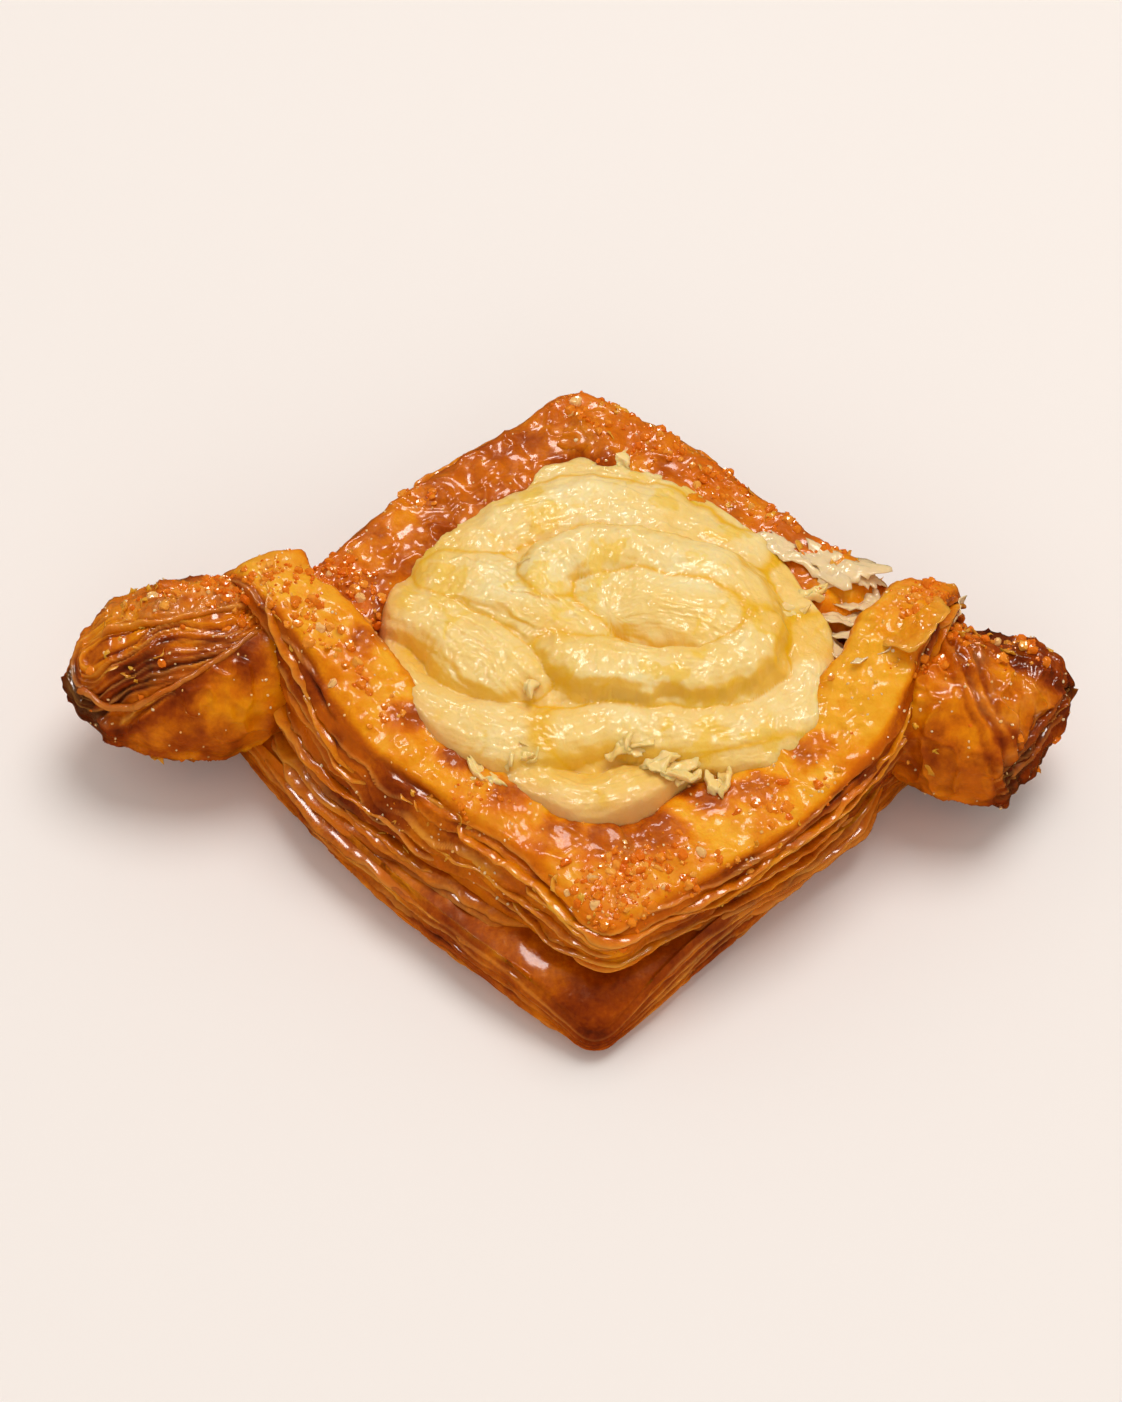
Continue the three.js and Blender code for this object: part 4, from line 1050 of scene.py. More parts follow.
def noise_node(tree, scale, detail, rough=0.5, distortion=0.0):
    """Noise over the object; scale is in waves a metre."""
    node = tree.nodes.new("ShaderNodeTexNoise")
    set_inputs(node, {"Detail": detail, "Roughness": rough, "Distortion": distortion})
    fill(tree, (node.inputs["Scale"],), (scale,))
    coords = tree.nodes.new("ShaderNodeTexCoord")
    tree.links.new(coords.outputs["Object"], node.inputs["Vector"])
    return node.outputs["Fac"]


def ramp_node(tree, value, stops):
    node = tree.nodes.new("ShaderNodeValToRGB")
    ramp = node.color_ramp
    while len(ramp.elements) < len(stops):
        ramp.elements.new(0.5)
    for element, (place, colour) in zip(ramp.elements, stops):
        element.position = place
        element.color = tuple(colour)
    tree.links.new(value, node.inputs["Fac"])
    return node.outputs["Color"]


def fine_relief_group():
    """Shared group: height of fine wrinkles and pores for baked and creamy surfaces."""
    if "Fine relief" in bpy.data.node_groups:
        return bpy.data.node_groups["Fine relief"]
    group = bpy.data.node_groups.new("Fine relief", "ShaderNodeTree")
    face = group.interface
    face.new_socket("Wrinkle Scale", in_out="INPUT", socket_type="NodeSocketFloat").default_value = 900
    face.new_socket("Pore Scale", in_out="INPUT", socket_type="NodeSocketFloat").default_value = 2200
    face.new_socket("Height", in_out="OUTPUT", socket_type="NodeSocketFloat")
    ins, outs = group.nodes.new("NodeGroupInput"), group.nodes.new("NodeGroupOutput")
    wrinkle = noise_node(group, ins.outputs["Wrinkle Scale"], 4, distortion=0.6)
    pore = noise_node(group, ins.outputs["Pore Scale"], 2)
    group.links.new(math_node(group, "MULTIPLY_ADD", pore, 0.35, wrinkle), outs.inputs["Height"])
    return group


def add_bump(tree, shader, strength, distance, wrinkle, pore):
    """Fine wrinkles and pores on the shader, distance metres high."""
    group = tree.nodes.new("ShaderNodeGroup")
    group.node_tree = fine_relief_group()
    set_inputs(group, {"Wrinkle Scale": wrinkle, "Pore Scale": pore})
    bump = tree.nodes.new("ShaderNodeBump")
    set_inputs(bump, {"Strength": strength, "Distance": distance})
    tree.links.new(group.outputs["Height"], bump.inputs["Height"])
    tree.links.new(bump.outputs["Normal"], shader.inputs["Normal"])


def material(name, paint, *extra):
    """The material of that name; paint fills it in when it is first asked for."""
    if name not in bpy.data.materials:
        made = bpy.data.materials.new(name)
        made.use_nodes = True
        tree = made.node_tree
        tree.nodes.clear()
        out = tree.nodes.new("ShaderNodeOutputMaterial")
        shader = tree.nodes.new("ShaderNodeBsdfPrincipled")
        tree.links.new(shader.outputs["BSDF"], out.inputs["Surface"])
        paint(tree, shader, bpy.context.scene.danish, *extra)
    return bpy.data.materials[name]


def paint_dough(tree, shader, look):
    """Baked laminated dough: pale crust to dark amber, caramel spots, pale leaf edges and egg-wash gloss. The
    bake mask carries painted shade in leaf gaps, grooves, leaf roots and beside the custard; the pale leaf edges
    are partly painted highlight.
    """
    bake, lip, orange, gloss = (attribute(tree, k) for k in ("bake", "lip", "orange", "gloss"))
    mottle = noise_node(tree, 330, 5.0, 0.6)
    fine = noise_node(tree, 1300, 3.0, 0.6)
    shade = math_node(tree, "MULTIPLY_ADD", mottle, 0.5, bake)
    shade = math_node(tree, "MULTIPLY_ADD", fine, 0.3, shade)
    shade = math_node(tree, "SUBTRACT", shade, 0.4, clamp=True)
    colour = ramp_node(tree, shade, (
        (0.0, look.pale_crust), (0.2, look.golden_crust), (0.42, look.amber_crust), (0.64, look.brown_crust),
        (0.84, look.dark_crust), (1.0, look.darkest_crust)))
    mottled = math_node(tree, "MULTIPLY_ADD", mottle, 1.6, -0.1)
    spots = math_node(tree, "MULTIPLY", orange, mottled, clamp=True)
    # Leaf lips take the pale leaf edge colour: partly their own colour, partly painted highlight.
    edge = math_node(tree, "MULTIPLY", lip, 0.34, clamp=True)
    torn = math_node(tree, "MULTIPLY_ADD", lip, 0.65, -0.8, clamp=True)
    for cover, over in ((spots, look.caramel), (edge, look.leaf_edge_and_sheen), (torn, look.torn_flake)):
        colour = mix_node(tree, cover, colour, over)
    tree.links.new(colour, shader.inputs["Base Color"])
    rough = math_node(tree, "MULTIPLY_ADD", gloss, -0.36, 0.48)
    tree.links.new(math_node(tree, "MULTIPLY_ADD", mottle, 0.16, rough), shader.inputs["Roughness"])
    tree.links.new(math_node(tree, "MULTIPLY", gloss, 0.9, clamp=True), shader.inputs["Coat Weight"])
    set_inputs(shader, {
        "Coat Roughness": 0.12, "Specular IOR Level": 0.25, "Specular Tint": (1.0, 0.62, 0.28, 1),
        "Subsurface Weight": 0.2, "Subsurface Radius": (1.0, 0.5, 0.12), "Subsurface Scale": 0.0015})
    add_bump(tree, shader, 0.5, 0.0003, 600, 2200)


def paint_custard(tree, shader, look, scatter):
    """Pale yellow custard, moist, with lemon streaks, a browner rim, and painted shade as a deeper yellow in its
    creases, low parts and steep sides; light goes scatter metres deep.
    """
    lemon, rim, cream, valley = (attribute(tree, k) for k in ("lemon", "rim", "cream", "valley"))
    mottle = noise_node(tree, 260, 4.0, 0.6)
    colour = mix_node(tree, math_node(tree, "MULTIPLY", cream, mottle), look.custard_yellow, look.custard_cream)
    # The crease colour, laid on by its mask, is painted shade.
    for mask, share, over in ((lemon, 0.55, look.custard_lemon), (valley, 0.95, look.custard_painted_shade),
                              (rim, 0.75, look.custard_rim)):
        colour = mix_node(tree, math_node(tree, "MULTIPLY", mask, share, clamp=True), colour, over)
    tree.links.new(colour, shader.inputs["Base Color"])
    set_inputs(shader, {
        "Roughness": 0.36, "Coat Weight": 0.4, "Coat Roughness": 0.12, "Specular IOR Level": 0.3,
        "Specular Tint": (1.0, 0.86, 0.6, 1), "Subsurface Weight": 0.55, "Subsurface Radius": (1.0, 0.75, 0.35),
        "Subsurface Scale": scatter})
    add_bump(tree, shader, 0.4, 0.0003, 900, 2600)


def paint_sugar(tree, shader, look):
    """Baked sugar: cream to clear amber, glossy; the palest cream partly stands for painted glints."""
    colour = ramp_node(tree, attribute(tree, "tone"), (
        (0.0, look.sugar_cream_and_glint), (0.3, look.sugar_honey), (0.6, look.sugar_amber), (1.0, look.sugar_dark)))
    tree.links.new(colour, shader.inputs["Base Color"])
    set_inputs(shader, {"Roughness": 0.12, "Coat Weight": 1.0, "Coat Roughness": 0.05,
                        "Specular Tint": (1.0, 0.75, 0.5, 1)})
    add_bump(tree, shader, 0.25, 0.0002, 1500, 3500)


def mirrored(tree):
    """1 for what the pastry's gloss mirrors, so that the white studio doesn't pale the crust."""
    return tree.nodes.new("ShaderNodeLightPath").outputs["Is Glossy Ray"]


def paint_floor(tree, shader, look):
    """Pale paper, brown where the pastry's gloss mirrors it."""
    lighter = [min(1.0, c * 1.01) for c in look.floor_colour[:3]] + [1.0]
    paper = mix_node(tree, noise_node(tree, 9.0, 2.0), tuple(look.floor_colour), lighter)
    tree.links.new(mix_node(tree, mirrored(tree), paper, (0.10, 0.04, 0.01, 1)), shader.inputs["Base Color"])
    set_inputs(shader, {"Roughness": 0.9, "Specular IOR Level": 0.1})


def dough_material():
    return material("baked_dough_crust", paint_dough)


# ---- settings

def colour_property(name, code, description):
    return FloatVectorProperty(name=name, description=description, default=srgb(code), subtype="COLOR", size=4,
                               min=0.0, max=1.0)


class DanishSettings(bpy.types.PropertyGroup):
    """Sizes and colours of the pastry"""
    seed: IntProperty(name="Seed", description="Number that scatters the sugar and the flakes", default=7, min=0)
    crystals: IntProperty(name="Sugar crystals", description="How many crystals lie on the dough", default=1500,
                          min=0)
    crystal_size: FloatProperty(name="Crystal size", description="Radius of the largest sugar crystal",
                                default=0.00080, unit="LENGTH", min=0.0002, max=0.003)
    pale_crust: colour_property("Pale crust", "#F6AE26", "Lightest baked crust")
    golden_crust: colour_property("Golden crust", "#F09404", "Golden crust")
    amber_crust: colour_property("Amber crust", "#DA7200", "Amber crust")
    brown_crust: colour_property("Brown crust", "#AC4800", "Brown crust")
    dark_crust: colour_property("Dark crust", "#842C00", "Dark crust")
    darkest_crust: colour_property("Darkest crust", "#561800", "Darkest crust")
    caramel: colour_property("Caramel", "#E27002", "Caramelised sugar on the crust")
    # Pale leaf edges: partly the thin dough's own colour, partly painted highlight.
    leaf_edge_and_sheen: colour_property("Leaf edge", "#F4BE62", "Thin edges of the parted leaves")
    torn_flake: colour_property("Torn flakes", "#F8DDB2", "Thin torn flakes of dough")
    custard_yellow: colour_property("Custard yellow", "#F5CA66", "Main colour of the custard")
    custard_cream: colour_property("Custard cream", "#FEE6AC", "Paler colour of the custard")
    custard_lemon: colour_property("Custard lemon", "#F2C40A", "Lemon streaks of the custard")
    # Painted shade: the deeper yellow of the custard's creases, low parts and steep sides.
    custard_painted_shade: colour_property("Custard painted shade", "#EEB404", "Painted shade in the custard's creases and on its steep sides")
    custard_rim: colour_property("Custard rim", "#EDB774", "Rim of the custard")
    # The palest cream is partly real sugar and partly painted glints on the fine grains.
    sugar_cream_and_glint: colour_property("Cream sugar", "#FBE2B0", "Palest sugar crystals")
    sugar_honey: colour_property("Honey sugar", "#F9B24A", "Honey sugar crystals")
    sugar_amber: colour_property("Amber sugar", "#F48A1C", "Amber sugar crystals")
    sugar_dark: colour_property("Dark sugar", "#E86A0C", "Darkest sugar crystals")
    floor_colour: colour_property("Floor", "#F6F0EC", "Studio floor")


# ---- pieces

def rock(random, split, rough=0.3):
    """A small closed rock: an icosphere made boxy and uneven, of 80 faces if split, else of 20."""
    phi = (1 + 5 ** 0.5) / 2
    v = np.array([[-1, phi, 0], [1, phi, 0], [-1, -phi, 0], [1, -phi, 0], [0, -1, phi], [0, 1, phi],
                  [0, -1, -phi], [0, 1, -phi], [phi, 0, -1], [phi, 0, 1], [-phi, 0, -1], [-phi, 0, 1]], float)
    f = [(0, 11, 5), (0, 5, 1), (0, 1, 7), (0, 7, 10), (0, 10, 11), (1, 5, 9), (5, 11, 4), (11, 10, 2),
         (10, 7, 6), (7, 1, 8), (3, 9, 4), (3, 4, 2), (3, 2, 6), (3, 6, 8), (3, 8, 9), (4, 9, 5), (2, 4, 11),
         (6, 2, 10), (8, 6, 7), (9, 8, 1)]
    v = unit(v)
    if split:
        cache, faces, points = {}, [], [tuple(p) for p in v]

        def half(a, b):
            key = (min(a, b), max(a, b))
            if key not in cache:
                cache[key] = len(points)
                points.append(tuple(unit((np.array(points[a]) + np.array(points[b])) / 2)))
            return cache[key]
        for a, b, c in f:
            ab, bc, ca = half(a, b), half(b, c), half(c, a)
            faces += [(a, ab, ca), (b, bc, ab), (c, ca, bc), (ab, bc, ca)]
        v, f = np.array(points), faces
    box = np.abs(v).max(1, keepdims=True)
    v = v / (0.15 + 0.85 * box)
    v = v * (1 + rough * fbm(v * 1.0 + random.uniform(0, 50, 3), 1.0, 2, 5)[:, None])
    v = v * random.uniform(0.75, 1.3, 3)
    return v, f


def turned(points, random):
    """The points turned at random."""
    q = random.normal(size=4)
    w, x, y, z = q / np.linalg.norm(q)
    m = np.array([[1 - 2 * (y * y + z * z), 2 * (x * y - z * w), 2 * (x * z + y * w)],
                  [2 * (x * y + z * w), 1 - 2 * (x * x + z * z), 2 * (y * z - x * w)],
                  [2 * (x * z - y * w), 2 * (y * z + x * w), 1 - 2 * (x * x + y * y)]])
    return points @ m.T


def surface_spots(p, mask, count, random):
    """Points and outward directions picked at random on a ringed surface where the mask is high."""
    normals = grid_normals(p)
    area = np.linalg.norm(np.cross(np.gradient(p, axis=0), np.roll(p, -1, 1) - p), axis=-1)
    weight = (np.broadcast_to(mask, area.shape) * area).ravel()
    chosen = random.choice(weight.size, count, p=weight / weight.sum())
    return p.reshape(-1, 3)[chosen], normals.reshape(-1, 3)[chosen]


def lying(along, lean, slope=0.0):
    """The length and the outward direction of a flake, from its direction, lean and slope in radians."""
    way = np.array([math.cos(along) * math.cos(slope), math.sin(along) * math.cos(slope), math.sin(slope)])
    normal = np.array([-math.sin(along) * math.sin(lean), math.cos(along) * math.sin(lean), math.cos(lean)])
    return way, normal


SHAPES = {}  # the points of each piece of dough that sugar and chips lie on, and what strip_rings gives

FLOOR_REACH = 3.0
WORLD_LIGHT, WORLD_MIRRORED = 0.54, 0.06
WORLD_COLOUR = (1.0, 0.93, 0.86, 1)
LIGHT_COLOUR = (1.0, 0.985, 0.97)
# Each light: name, place and size in metres, brightness on the floor, and whether it lights the surfaces
# (True) or only shines in their gloss (False).
LIGHTS = (
    ("soft_light", (0.40, 0.60, 1.95), 1.35, 0.48, True),
    ("front_light", (0.0, -1.50, 0.90), 1.00, 0.05, True),
    ("top_glint", (0.10, 0.60, 2.00), 0.60, 0.33, False),
    ("left_glint", (-1.15, 0.55, 1.60), 0.34, 0.13, False),
    ("right_glint", (1.15, 0.50, 1.60), 0.30, 0.10, False),
    ("back_glint", (-0.30, 1.50, 1.20), 0.34, 0.08, False),
)
CAMERA_ELEVATION = math.radians(50)
CAMERA_DISTANCE = 0.580
CAMERA_AIM = (np.array([0, 0, 12.0]) - MIDDLE) * MM


class DANISH_OT_stage(bpy.types.Operator):
    """Make the floor, the lights and the camera"""
    bl_idname = "danish.stage"
    bl_label = "Stage"

    def execute(self, context):
        scene = context.scene
        scene.view_settings.view_transform = "Standard"
        mesh = bpy.data.meshes.new("studio_floor")
        corners = [(x * FLOOR_REACH, y * FLOOR_REACH, 0) for x, y in ((-1, -1), (1, -1), (1, 1), (-1, 1))]
        mesh.from_pydata(corners, [], [(0, 1, 2, 3)])
        mesh.materials.append(material("studio_floor", paint_floor))
        floor = bpy.data.objects.new("studio_floor", mesh)
        scene.collection.objects.link(floor)
        world = bpy.data.worlds.new("studio_air")
        world.use_nodes = True
        tree = world.node_tree
        back = tree.nodes["Background"]
        back.inputs["Color"].default_value = WORLD_COLOUR
        lit = math_node(tree, "MULTIPLY_ADD", mirrored(tree), WORLD_MIRRORED - WORLD_LIGHT, WORLD_LIGHT)
        tree.links.new(lit, back.inputs["Strength"])
        scene.world = world
        for name, place, size, brightness, soft in LIGHTS:
            power = brightness * math.pi ** 2 * Vector(place).length ** 3 / place[2]
            data = bpy.data.lights.new(name, "AREA")
            data.shape, data.size, data.energy, data.color = "DISK", size, power, LIGHT_COLOUR
            light = bpy.data.objects.new(name, data)
            light.visible_diffuse, light.visible_glossy = soft, not soft
            self.aim(scene, light, Vector(place), Vector(place))
        lens = bpy.data.cameras.new("camera")
        lens.lens, lens.sensor_width, lens.sensor_fit = 100.0, 36.0, "AUTO"
        lens.clip_start, lens.clip_end = 0.01, 20
        camera = bpy.data.objects.new("camera", lens)
        back_off = Vector((0, -math.cos(CAMERA_ELEVATION), math.sin(CAMERA_ELEVATION)))
        self.aim(scene, camera, Vector(CAMERA_AIM) + back_off * CAMERA_DISTANCE, back_off)
        scene.camera = camera
        return {"FINISHED"}

    def aim(self, scene, thing, place, away):
        """Puts a light or the camera in its place, looking against away."""
        thing.location = place
        thing.rotation_mode = "QUATERNION"
        thing.rotation_quaternion = (-away).to_track_quat("-Z", "Y")
        scene.collection.objects.link(thing)


class DANISH_OT_base_sheet(bpy.types.Operator):
    """Make the base sheet of dough"""
    bl_idname = "danish.base_sheet"
    bl_label = "Base sheet"

    def execute(self, context):
        p, masks = base_sheet_shape()
        masks = {k: np.broadcast_to(v, p.shape[:2]).T for k, v in masks.items()}
        add_parts("base_sheet", [tube(p.transpose(1, 0, 2), masks)], dough_material())
        add_parts("base_leaves", base_leaves(), dough_material())
        p, masks = lining_shape()
        add_parts("inner_dough", [tube(p, masks)], dough_material())
        return {"FINISHED"}


class DANISH_OT_strips(bpy.types.Operator):
    """Make the front and the back strip of dough"""
    bl_idname = "danish.strips"
    bl_label = "Strips"

    def execute(self, context):
        for name, shape in (("front_strip", front_strip_shape), ("back_strip", back_strip_shape)):
            p, masks, s = shape()
            SHAPES[name] = (p, s)
            add_parts(name, [tube(p, masks)], dough_material())
        front, back = SHAPES["front_strip"][1], SHAPES["back_strip"][1]
        leaves = strip_leaves(front, 5, 160, 0.8, 0.44)
        leaves += apron(front, 170, (-37, -3), 8.4, 3.3, 1.1)
        leaves += apron(front, 180, (-1, 45), 6.6, 1.2, 0.3)
        add_parts("front_leaves", leaves, dough_material())
        add_parts("back_leaves", strip_leaves(back, 4, 190, 0.7, 0.5), dough_material())
        return {"FINISHED"}


class DANISH_OT_knots(bpy.types.Operator):
    """Make the twisted knots at both ends"""
    bl_idname = "danish.knots"
    bl_label = "Knots"

    def execute(self, context):
        for name, shape, stations, folds, seed in (
            ("left_knot", left_knot_shape, LEFT_KNOT, LEFT_FOLDS, 210),
            ("right_knot", right_knot_shape, RIGHT_KNOT, RIGHT_FOLDS, 230),
        ):
            p, masks = shape()
            SHAPES[name] = (p, None)
            add_parts(name, [tube(p, masks)] + knot_folds(stations, folds, seed), dough_material())
        return {"FINISHED"}


class DANISH_OT_custard(bpy.types.Operator):
    """Make the mound of custard"""
    bl_idname = "danish.custard"
    bl_label = "Custard"

    def execute(self, context):
        p, masks = custard_shape()
        custard = material("moist_custard", paint_custard, 0.0014)
        add_parts("custard_mound", [tube(p, masks)], custard, "custard", "custard")
        return {"FINISHED"}


class DANISH_OT_shreds(bpy.types.Operator):
    """Make the torn bits of custard that stand up round the mound"""
    bl_idname = "danish.shreds"
    bl_label = "Custard shreds"

    def execute(self, context):
        random = np.random.default_rng(context.scene.danish.seed + 1)
        parts = []
        for x, y, z, length, width, along, lean, pieces in CUSTARD_SHREDS:
            for k in range(pieces):
                turn = math.radians(along + random.uniform(-50, 50) * (k > 0))
                tilt = math.radians(lean + random.uniform(-30, 30) * (k > 0))
                way, normal = lying(turn, tilt)
                size = np.array([length, width]) * random.uniform(0.75, 1.15, 2)
                spot = np.array([x, y, z - 0.5]) + random.normal(size=3) * np.array([1.0, 1.0, 0.3]) * (k > 0)
                # Each torn bit gets a little painted shade all over.
                masks = {"lemon": 0.3 * random.random(), "valley": 0.15, "rim": 0.0, "cream": 1.3}
                bend, thick = random.uniform(-0.8, 0.8, 2), random.uniform(0.8, 1.5)
                shift = random.uniform(0, 90)
                parts.append(sheet(spot, way, normal, size, bend, thick, shift, masks, 0.3, 0.8, 30, 6))
        custard = material("torn_custard", paint_custard, 0.0003)
        add_parts("custard_shreds", parts, custard, "custard", "custard")
        return {"FINISHED"}


# Torn custard: x, y, z, length, width, direction and lean in degrees, and how many pieces.
CUSTARD_SHREDS = (
    (-26.8, 10.0, 20.4, 5.0, 2.2, 170, 20, 2), (-5.1, -8.5, 26.6, 2.4, 1.6, 60, 40, 2),
    (-3.6, 14.9, 28.2, 4.2, 2.8, -20, 25, 2), (8.9, 38.0, 24.8, 4.5, 2.5, 60, 30, 2),
    (33.4, 7.1, 24.8, 4.5, 2.6, 30, 30, 2), (37.3, 9.7, 24.6, 3.4, 2.0, 0, 25, 2),
    (-7.0, -18.4, 23.4, 5.0, 2.2, 95, 70, 2), (-4.0, -19.6, 23.6, 3.6, 2.2, 60, 40, 2),
    (11.8, -17.9, 24.4, 4.6, 3.4, 50, 55, 3), (14.5, -20.5, 23.8, 6.0, 3.6, 25, 30, 3),
    (17.5, -22.8, 23.2, 5.0, 3.4, 10, 25, 2), (19.0, -17.9, 23.6, 3.4, 2.2, 80, 45, 2),
    (23.1, -23.6, 22.9, 4.2, 2.2, 85, 35, 2), (25.4, -27.2, 21.9, 3.0, 2.2, 70, 20, 1),
    (-11.5, -22.4, 21.9, 8.0, 2.2, -28, 15, 2), (8.5, -19.5, 24.0, 3.6, 2.4, 20, 35, 2),
    (38.5, 12.0, 24.4, 3.2, 1.8, 40, 30, 1),
)


class DANISH_OT_flakes(bpy.types.Operator):
    """Make the loose skin, the torn flakes and the small chips of crust"""
    bl_idname = "danish.flakes"
    bl_label = "Flakes"

    def execute(self, context):
        random = np.random.default_rng(context.scene.danish.seed + 2)
        parts = []
        for x, y, z, length, width, along, lean, slope, bake, jag in LARGE_FLAKES:
            way, normal = lying(math.radians(along), math.radians(lean), math.radians(slope))
            masks = {"bake": bake, "lip": 2.4 * (bake < 0.15), "orange": 0.1 * random.random(), "gloss": 0.9}
            bend, shift = random.uniform(-1.2, 0.6, 2), random.uniform(0, 90)
            place, size = (x, y, z), (length, width)
            parts.append(sheet(place, way, normal, size, bend, 0.45, shift, masks, jag, 0.5, 44, 9))
        for name, count, zones in CHIP_ZONES:
            p, s = SHAPES[name]
            top = 1.0 if s is None else np.clip(s["top"] + 0.7 * s["cut"], 0, 1)
            mask = (stains(p, zones) + 0.03) * top * (p[..., 2] > 4)
            spots, outs = surface_spots(p, mask, count, random)
            for spot, out in zip(spots, outs):
                normal = unit(out + 0.5 * random.normal(size=3))
                size = random.uniform(0.9, 2.6) * np.array([1.0, random.uniform(0.35, 0.7)])
                masks = {"bake": random.uniform(0.02, 0.3), "lip": 0.5 * random.random(),
                         "orange": 0.3 * random.random(), "gloss": 0.8}
                place, way = spot + out * 0.15, random.normal(size=3)
                bend, shift = random.uniform(-0.4, 0.4, 2), random.uniform(0, 90)
                parts.append(sheet(place, way, normal, size, bend, 0.22, shift, masks, 0.45, 0.2, 12, 2))
        add_parts("crust_flakes", parts, dough_material())
        return {"FINISHED"}


# Large flakes: x, y, z, length, width, direction, lean and slope in degrees, bake and how torn they are.
LARGE_FLAKES = (
    (50.4, 0.2, 30.4, 11.5, 11.5, 62, 22, 20, 0.2, 0.06), (45.2, -3.4, 27.4, 8.0, 5.0, 40, 30, 10, 0.1, 0.3),
    (42.5, 13.5, 20.8, 13, 8, -38, 18, 0, 0.1, 0.25), (45.0, 11.0, 22.0, 9, 7, -20, 8, 5, 0.0, 0.3),
    (44.5, 7.5, 19.2, 12, 7, -55, 32, 0, 0.5, 0.3), (40.8, 17.5, 22.2, 10, 6, -30, 26, 0, 0.1, 0.3),
    (39.5, 6.0, 17.0, 10, 7, -62, 40, 0, 0.5, 0.3), (44.5, 16.0, 23.6, 9, 5, -28, 30, 4, 0.0, 0.4),
    (37.0, 18.6, 24.2, 15, 8, -33, 16, 0, 0.0, 0.3), (41.6, 16.4, 24.4, 10, 7, -24, 10, 0, 0.0, 0.4),
    (42.6, 7.5, 22.4, 10, 7.5, -10, 30, 0, 0.0, 0.3), (44.0, 3.6, 23.4, 8, 7, 10, 42, -10, 0.0, 0.35),
    (41.0, 1.0, 23.0, 9, 5, -60, 46, 0, 0.0, 0.3), (39.8, -4.5, 22.4, 8, 3.6, -70, 50, 0, 0.0, 0.35),
    (46.6, -1.4, 27.2, 7, 5, 75, 46, 0, 0.0, 0.3), (58.0, 5.4, 25.6, 5, 4, 70, 70, 0, 0.1, 0.35),
)
# Where small chips lie: the piece, how many, and the spots where they gather (x, y, z, radius, strength).
CHIP_ZONES = (
    ("left_knot", 34, (
        (-62, 6, 27, 6, 1.0), (-56, 8, 28, 6, 0.8), (-66, 2, 24, 5, 0.8), (-60, -2, 25, 6, 0.5))),
    ("front_strip", 60, (
        (-20, -26, 16, 9, 0.8), (-38, 0, 26, 8, 0.6), (2, -42, 18, 8, 0.6), (30, -34, 16, 9, 0.7),
        (52, -2, 28, 6, 0.7), (20, -40, 14, 7, 0.6))),
    ("back_strip", 22, (
        (40, 18, 24, 7, 1.0), (30, 28, 24, 6, 0.5), (10, 46, 24, 6, 0.4), (-30, 22, 23, 5, 0.4))),
    ("right_knot", 14, ((54, -12, 18, 7, 0.8), (62, 2, 24, 6, 0.5))),
)


class DANISH_OT_sugar(bpy.types.Operator):
    """Scatter the sugar crystals over the dough"""
    bl_idname = "danish.sugar"
    bl_label = "Sugar crystals"

    def execute(self, context):
        look = context.scene.danish
        random = np.random.default_rng(look.seed)
        parts = []
        for name, share, zones in SUGAR_ZONES:
            p, s = SHAPES[name]
            crowd = stains(p, zones)
            top = 1.0 if s is None else np.clip(s["top"] + 0.6 * s["inner"] + 0.25 * s["cut"], 0, 1)
            mask = (crowd ** 1.5 + 0.006) * top * (p[..., 2] > 8)
            count = int(look.crystals * share)
            spots, outs = surface_spots(p, mask, count, random)
            for k in range(count):
                size = look.crystal_size / MM * (0.22 + 0.72 * random.random() ** 2.8)
                v, f = rock(random, size > 0.45)
                tone = np.full(len(v), 0.2 + 0.8 * random.beta(2.4, 1.6) * (random.random() > 0.04))
                parts.append((turned(v, random) * size + spots[k] + outs[k] * size * 0.15, f, {"tone": tone}))
        # Fine pale grains all over: partly real sugar grains, partly painted glints.
        for name, count in FINE_SUGAR_AND_GLINTS:
            p = SHAPES[name][0]
            spots, outs = surface_spots(p, p[..., 2] > 5, count, random)
            for k in range(count):
                size = random.uniform(0.12, 0.24)
                v, f = rock(random, False)
                tone = np.full(len(v), random.uniform(0, 0.25))
                parts.append((turned(v, random) * size + spots[k] + outs[k] * size * 0.3, f, {"tone": tone}))
        add_parts("sugar_crystals", parts, material("candied_sugar", paint_sugar), rounded=False)
        return {"FINISHED"}


# Pale grains all over a piece, and how many of them: partly real sugar grains, partly painted glints.
FINE_SUGAR_AND_GLINTS = (("front_strip", 460), ("back_strip", 200), ("left_knot", 110), ("right_knot", 110))
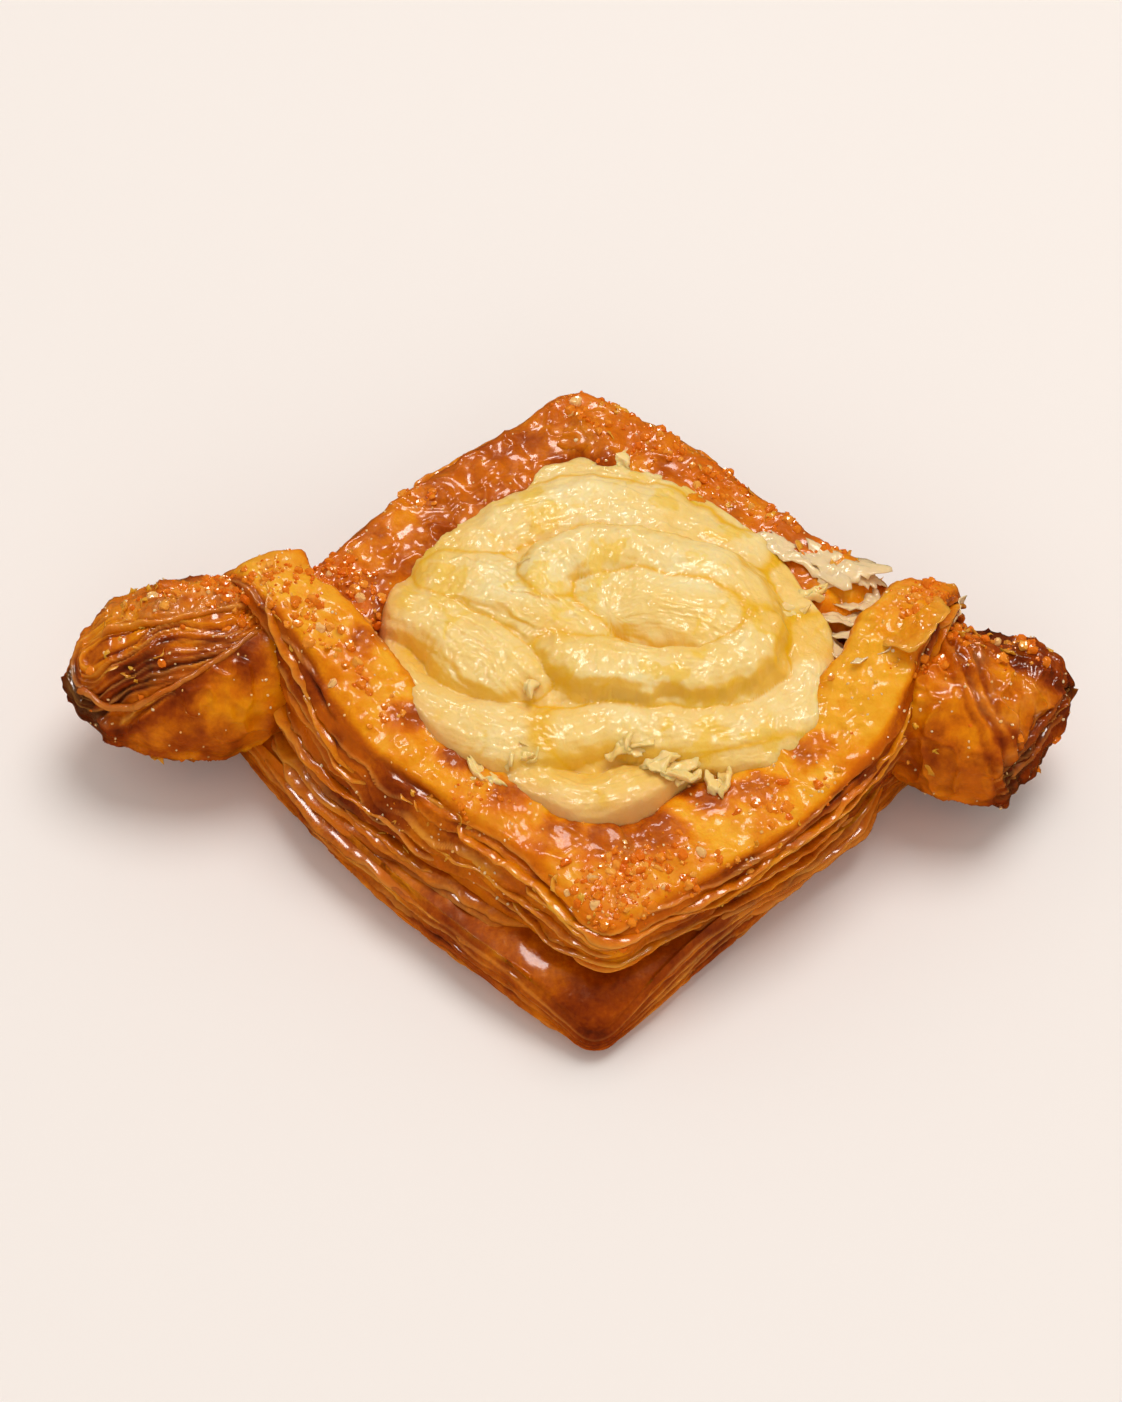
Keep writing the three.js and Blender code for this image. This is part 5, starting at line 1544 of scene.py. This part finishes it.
# Where the crystals lie: the piece, its share of them, and the spots where they gather.
SUGAR_ZONES = (
    ("front_strip", 0.46, (
        (-42, 8, 30, 7, 1.0), (-37, 3, 28, 5, 0.7), (-33, 0, 25, 5, 0.9), (-29, -6, 23, 5, 0.9),
        (-25, -12, 22, 4, 0.6), (9, -43, 20, 8, 1.0), (16, -38, 20, 6, 0.6), (2, -40, 20, 5, 0.6),
        (24, -37, 19, 4, 0.7), (54, 4, 30, 6, 1.0), (30, -28, 20, 6, 0.35), (40, -24, 20, 5, 0.4),
        (-12, -26, 20, 6, 0.4), (50, -6, 25, 4, 0.5))),
    ("back_strip", 0.34, (
        (-34, 16, 23, 7, 1.0), (-29, 8, 20, 6, 1.0), (8, 48, 23, 6, 0.8), (16, 42, 23, 6, 0.9),
        (24, 34, 23, 6, 0.9), (32, 26, 23, 6, 0.8), (1, 51, 24, 4, 0.7), (-22, 31, 23, 4, 0.5),
        (40, 19, 22, 5, 0.5))),
    ("left_knot", 0.12, (
        (-57, 9, 27, 5, 0.8), (-50, 9, 27, 6, 1.0), (-63, 6, 25, 4, 0.4), (-46, 4, 26, 5, 0.8))),
    ("right_knot", 0.08, ((60, 4, 25, 6, 0.9), (54, -6, 25, 3, 1.0), (66, 1, 22, 6, 0.5))),
)

PARTS = (DANISH_OT_stage, DANISH_OT_base_sheet, DANISH_OT_strips, DANISH_OT_knots, DANISH_OT_custard,
         DANISH_OT_shreds, DANISH_OT_flakes, DANISH_OT_sugar)


class DANISH_PT_panel(bpy.types.Panel):
    """Lists the steps that build the pastry"""
    bl_idname = "DANISH_PT_panel"
    bl_label = "Danish pastry"
    bl_space_type = "VIEW_3D"
    bl_region_type = "UI"
    bl_category = "Danish"

    def draw(self, context):
        look = context.scene.danish
        for key in ("seed", "crystals", "crystal_size"):
            self.layout.prop(look, key)
        for part in PARTS:
            self.layout.operator(part.bl_idname)


CLASSES = (DanishSettings,) + PARTS + (DANISH_PT_panel,)


def register():
    for cls in CLASSES:
        bpy.utils.register_class(cls)
    bpy.types.Scene.danish = PointerProperty(type=DanishSettings)


def unregister():
    del bpy.types.Scene.danish
    for cls in reversed(CLASSES):
        bpy.utils.unregister_class(cls)


def main():
    register()
    for step in (bpy.ops.danish.stage, bpy.ops.danish.base_sheet, bpy.ops.danish.strips, bpy.ops.danish.knots,
                 bpy.ops.danish.custard, bpy.ops.danish.shreds, bpy.ops.danish.flakes, bpy.ops.danish.sugar):
        step()


if __name__ == "__main__":
    main()
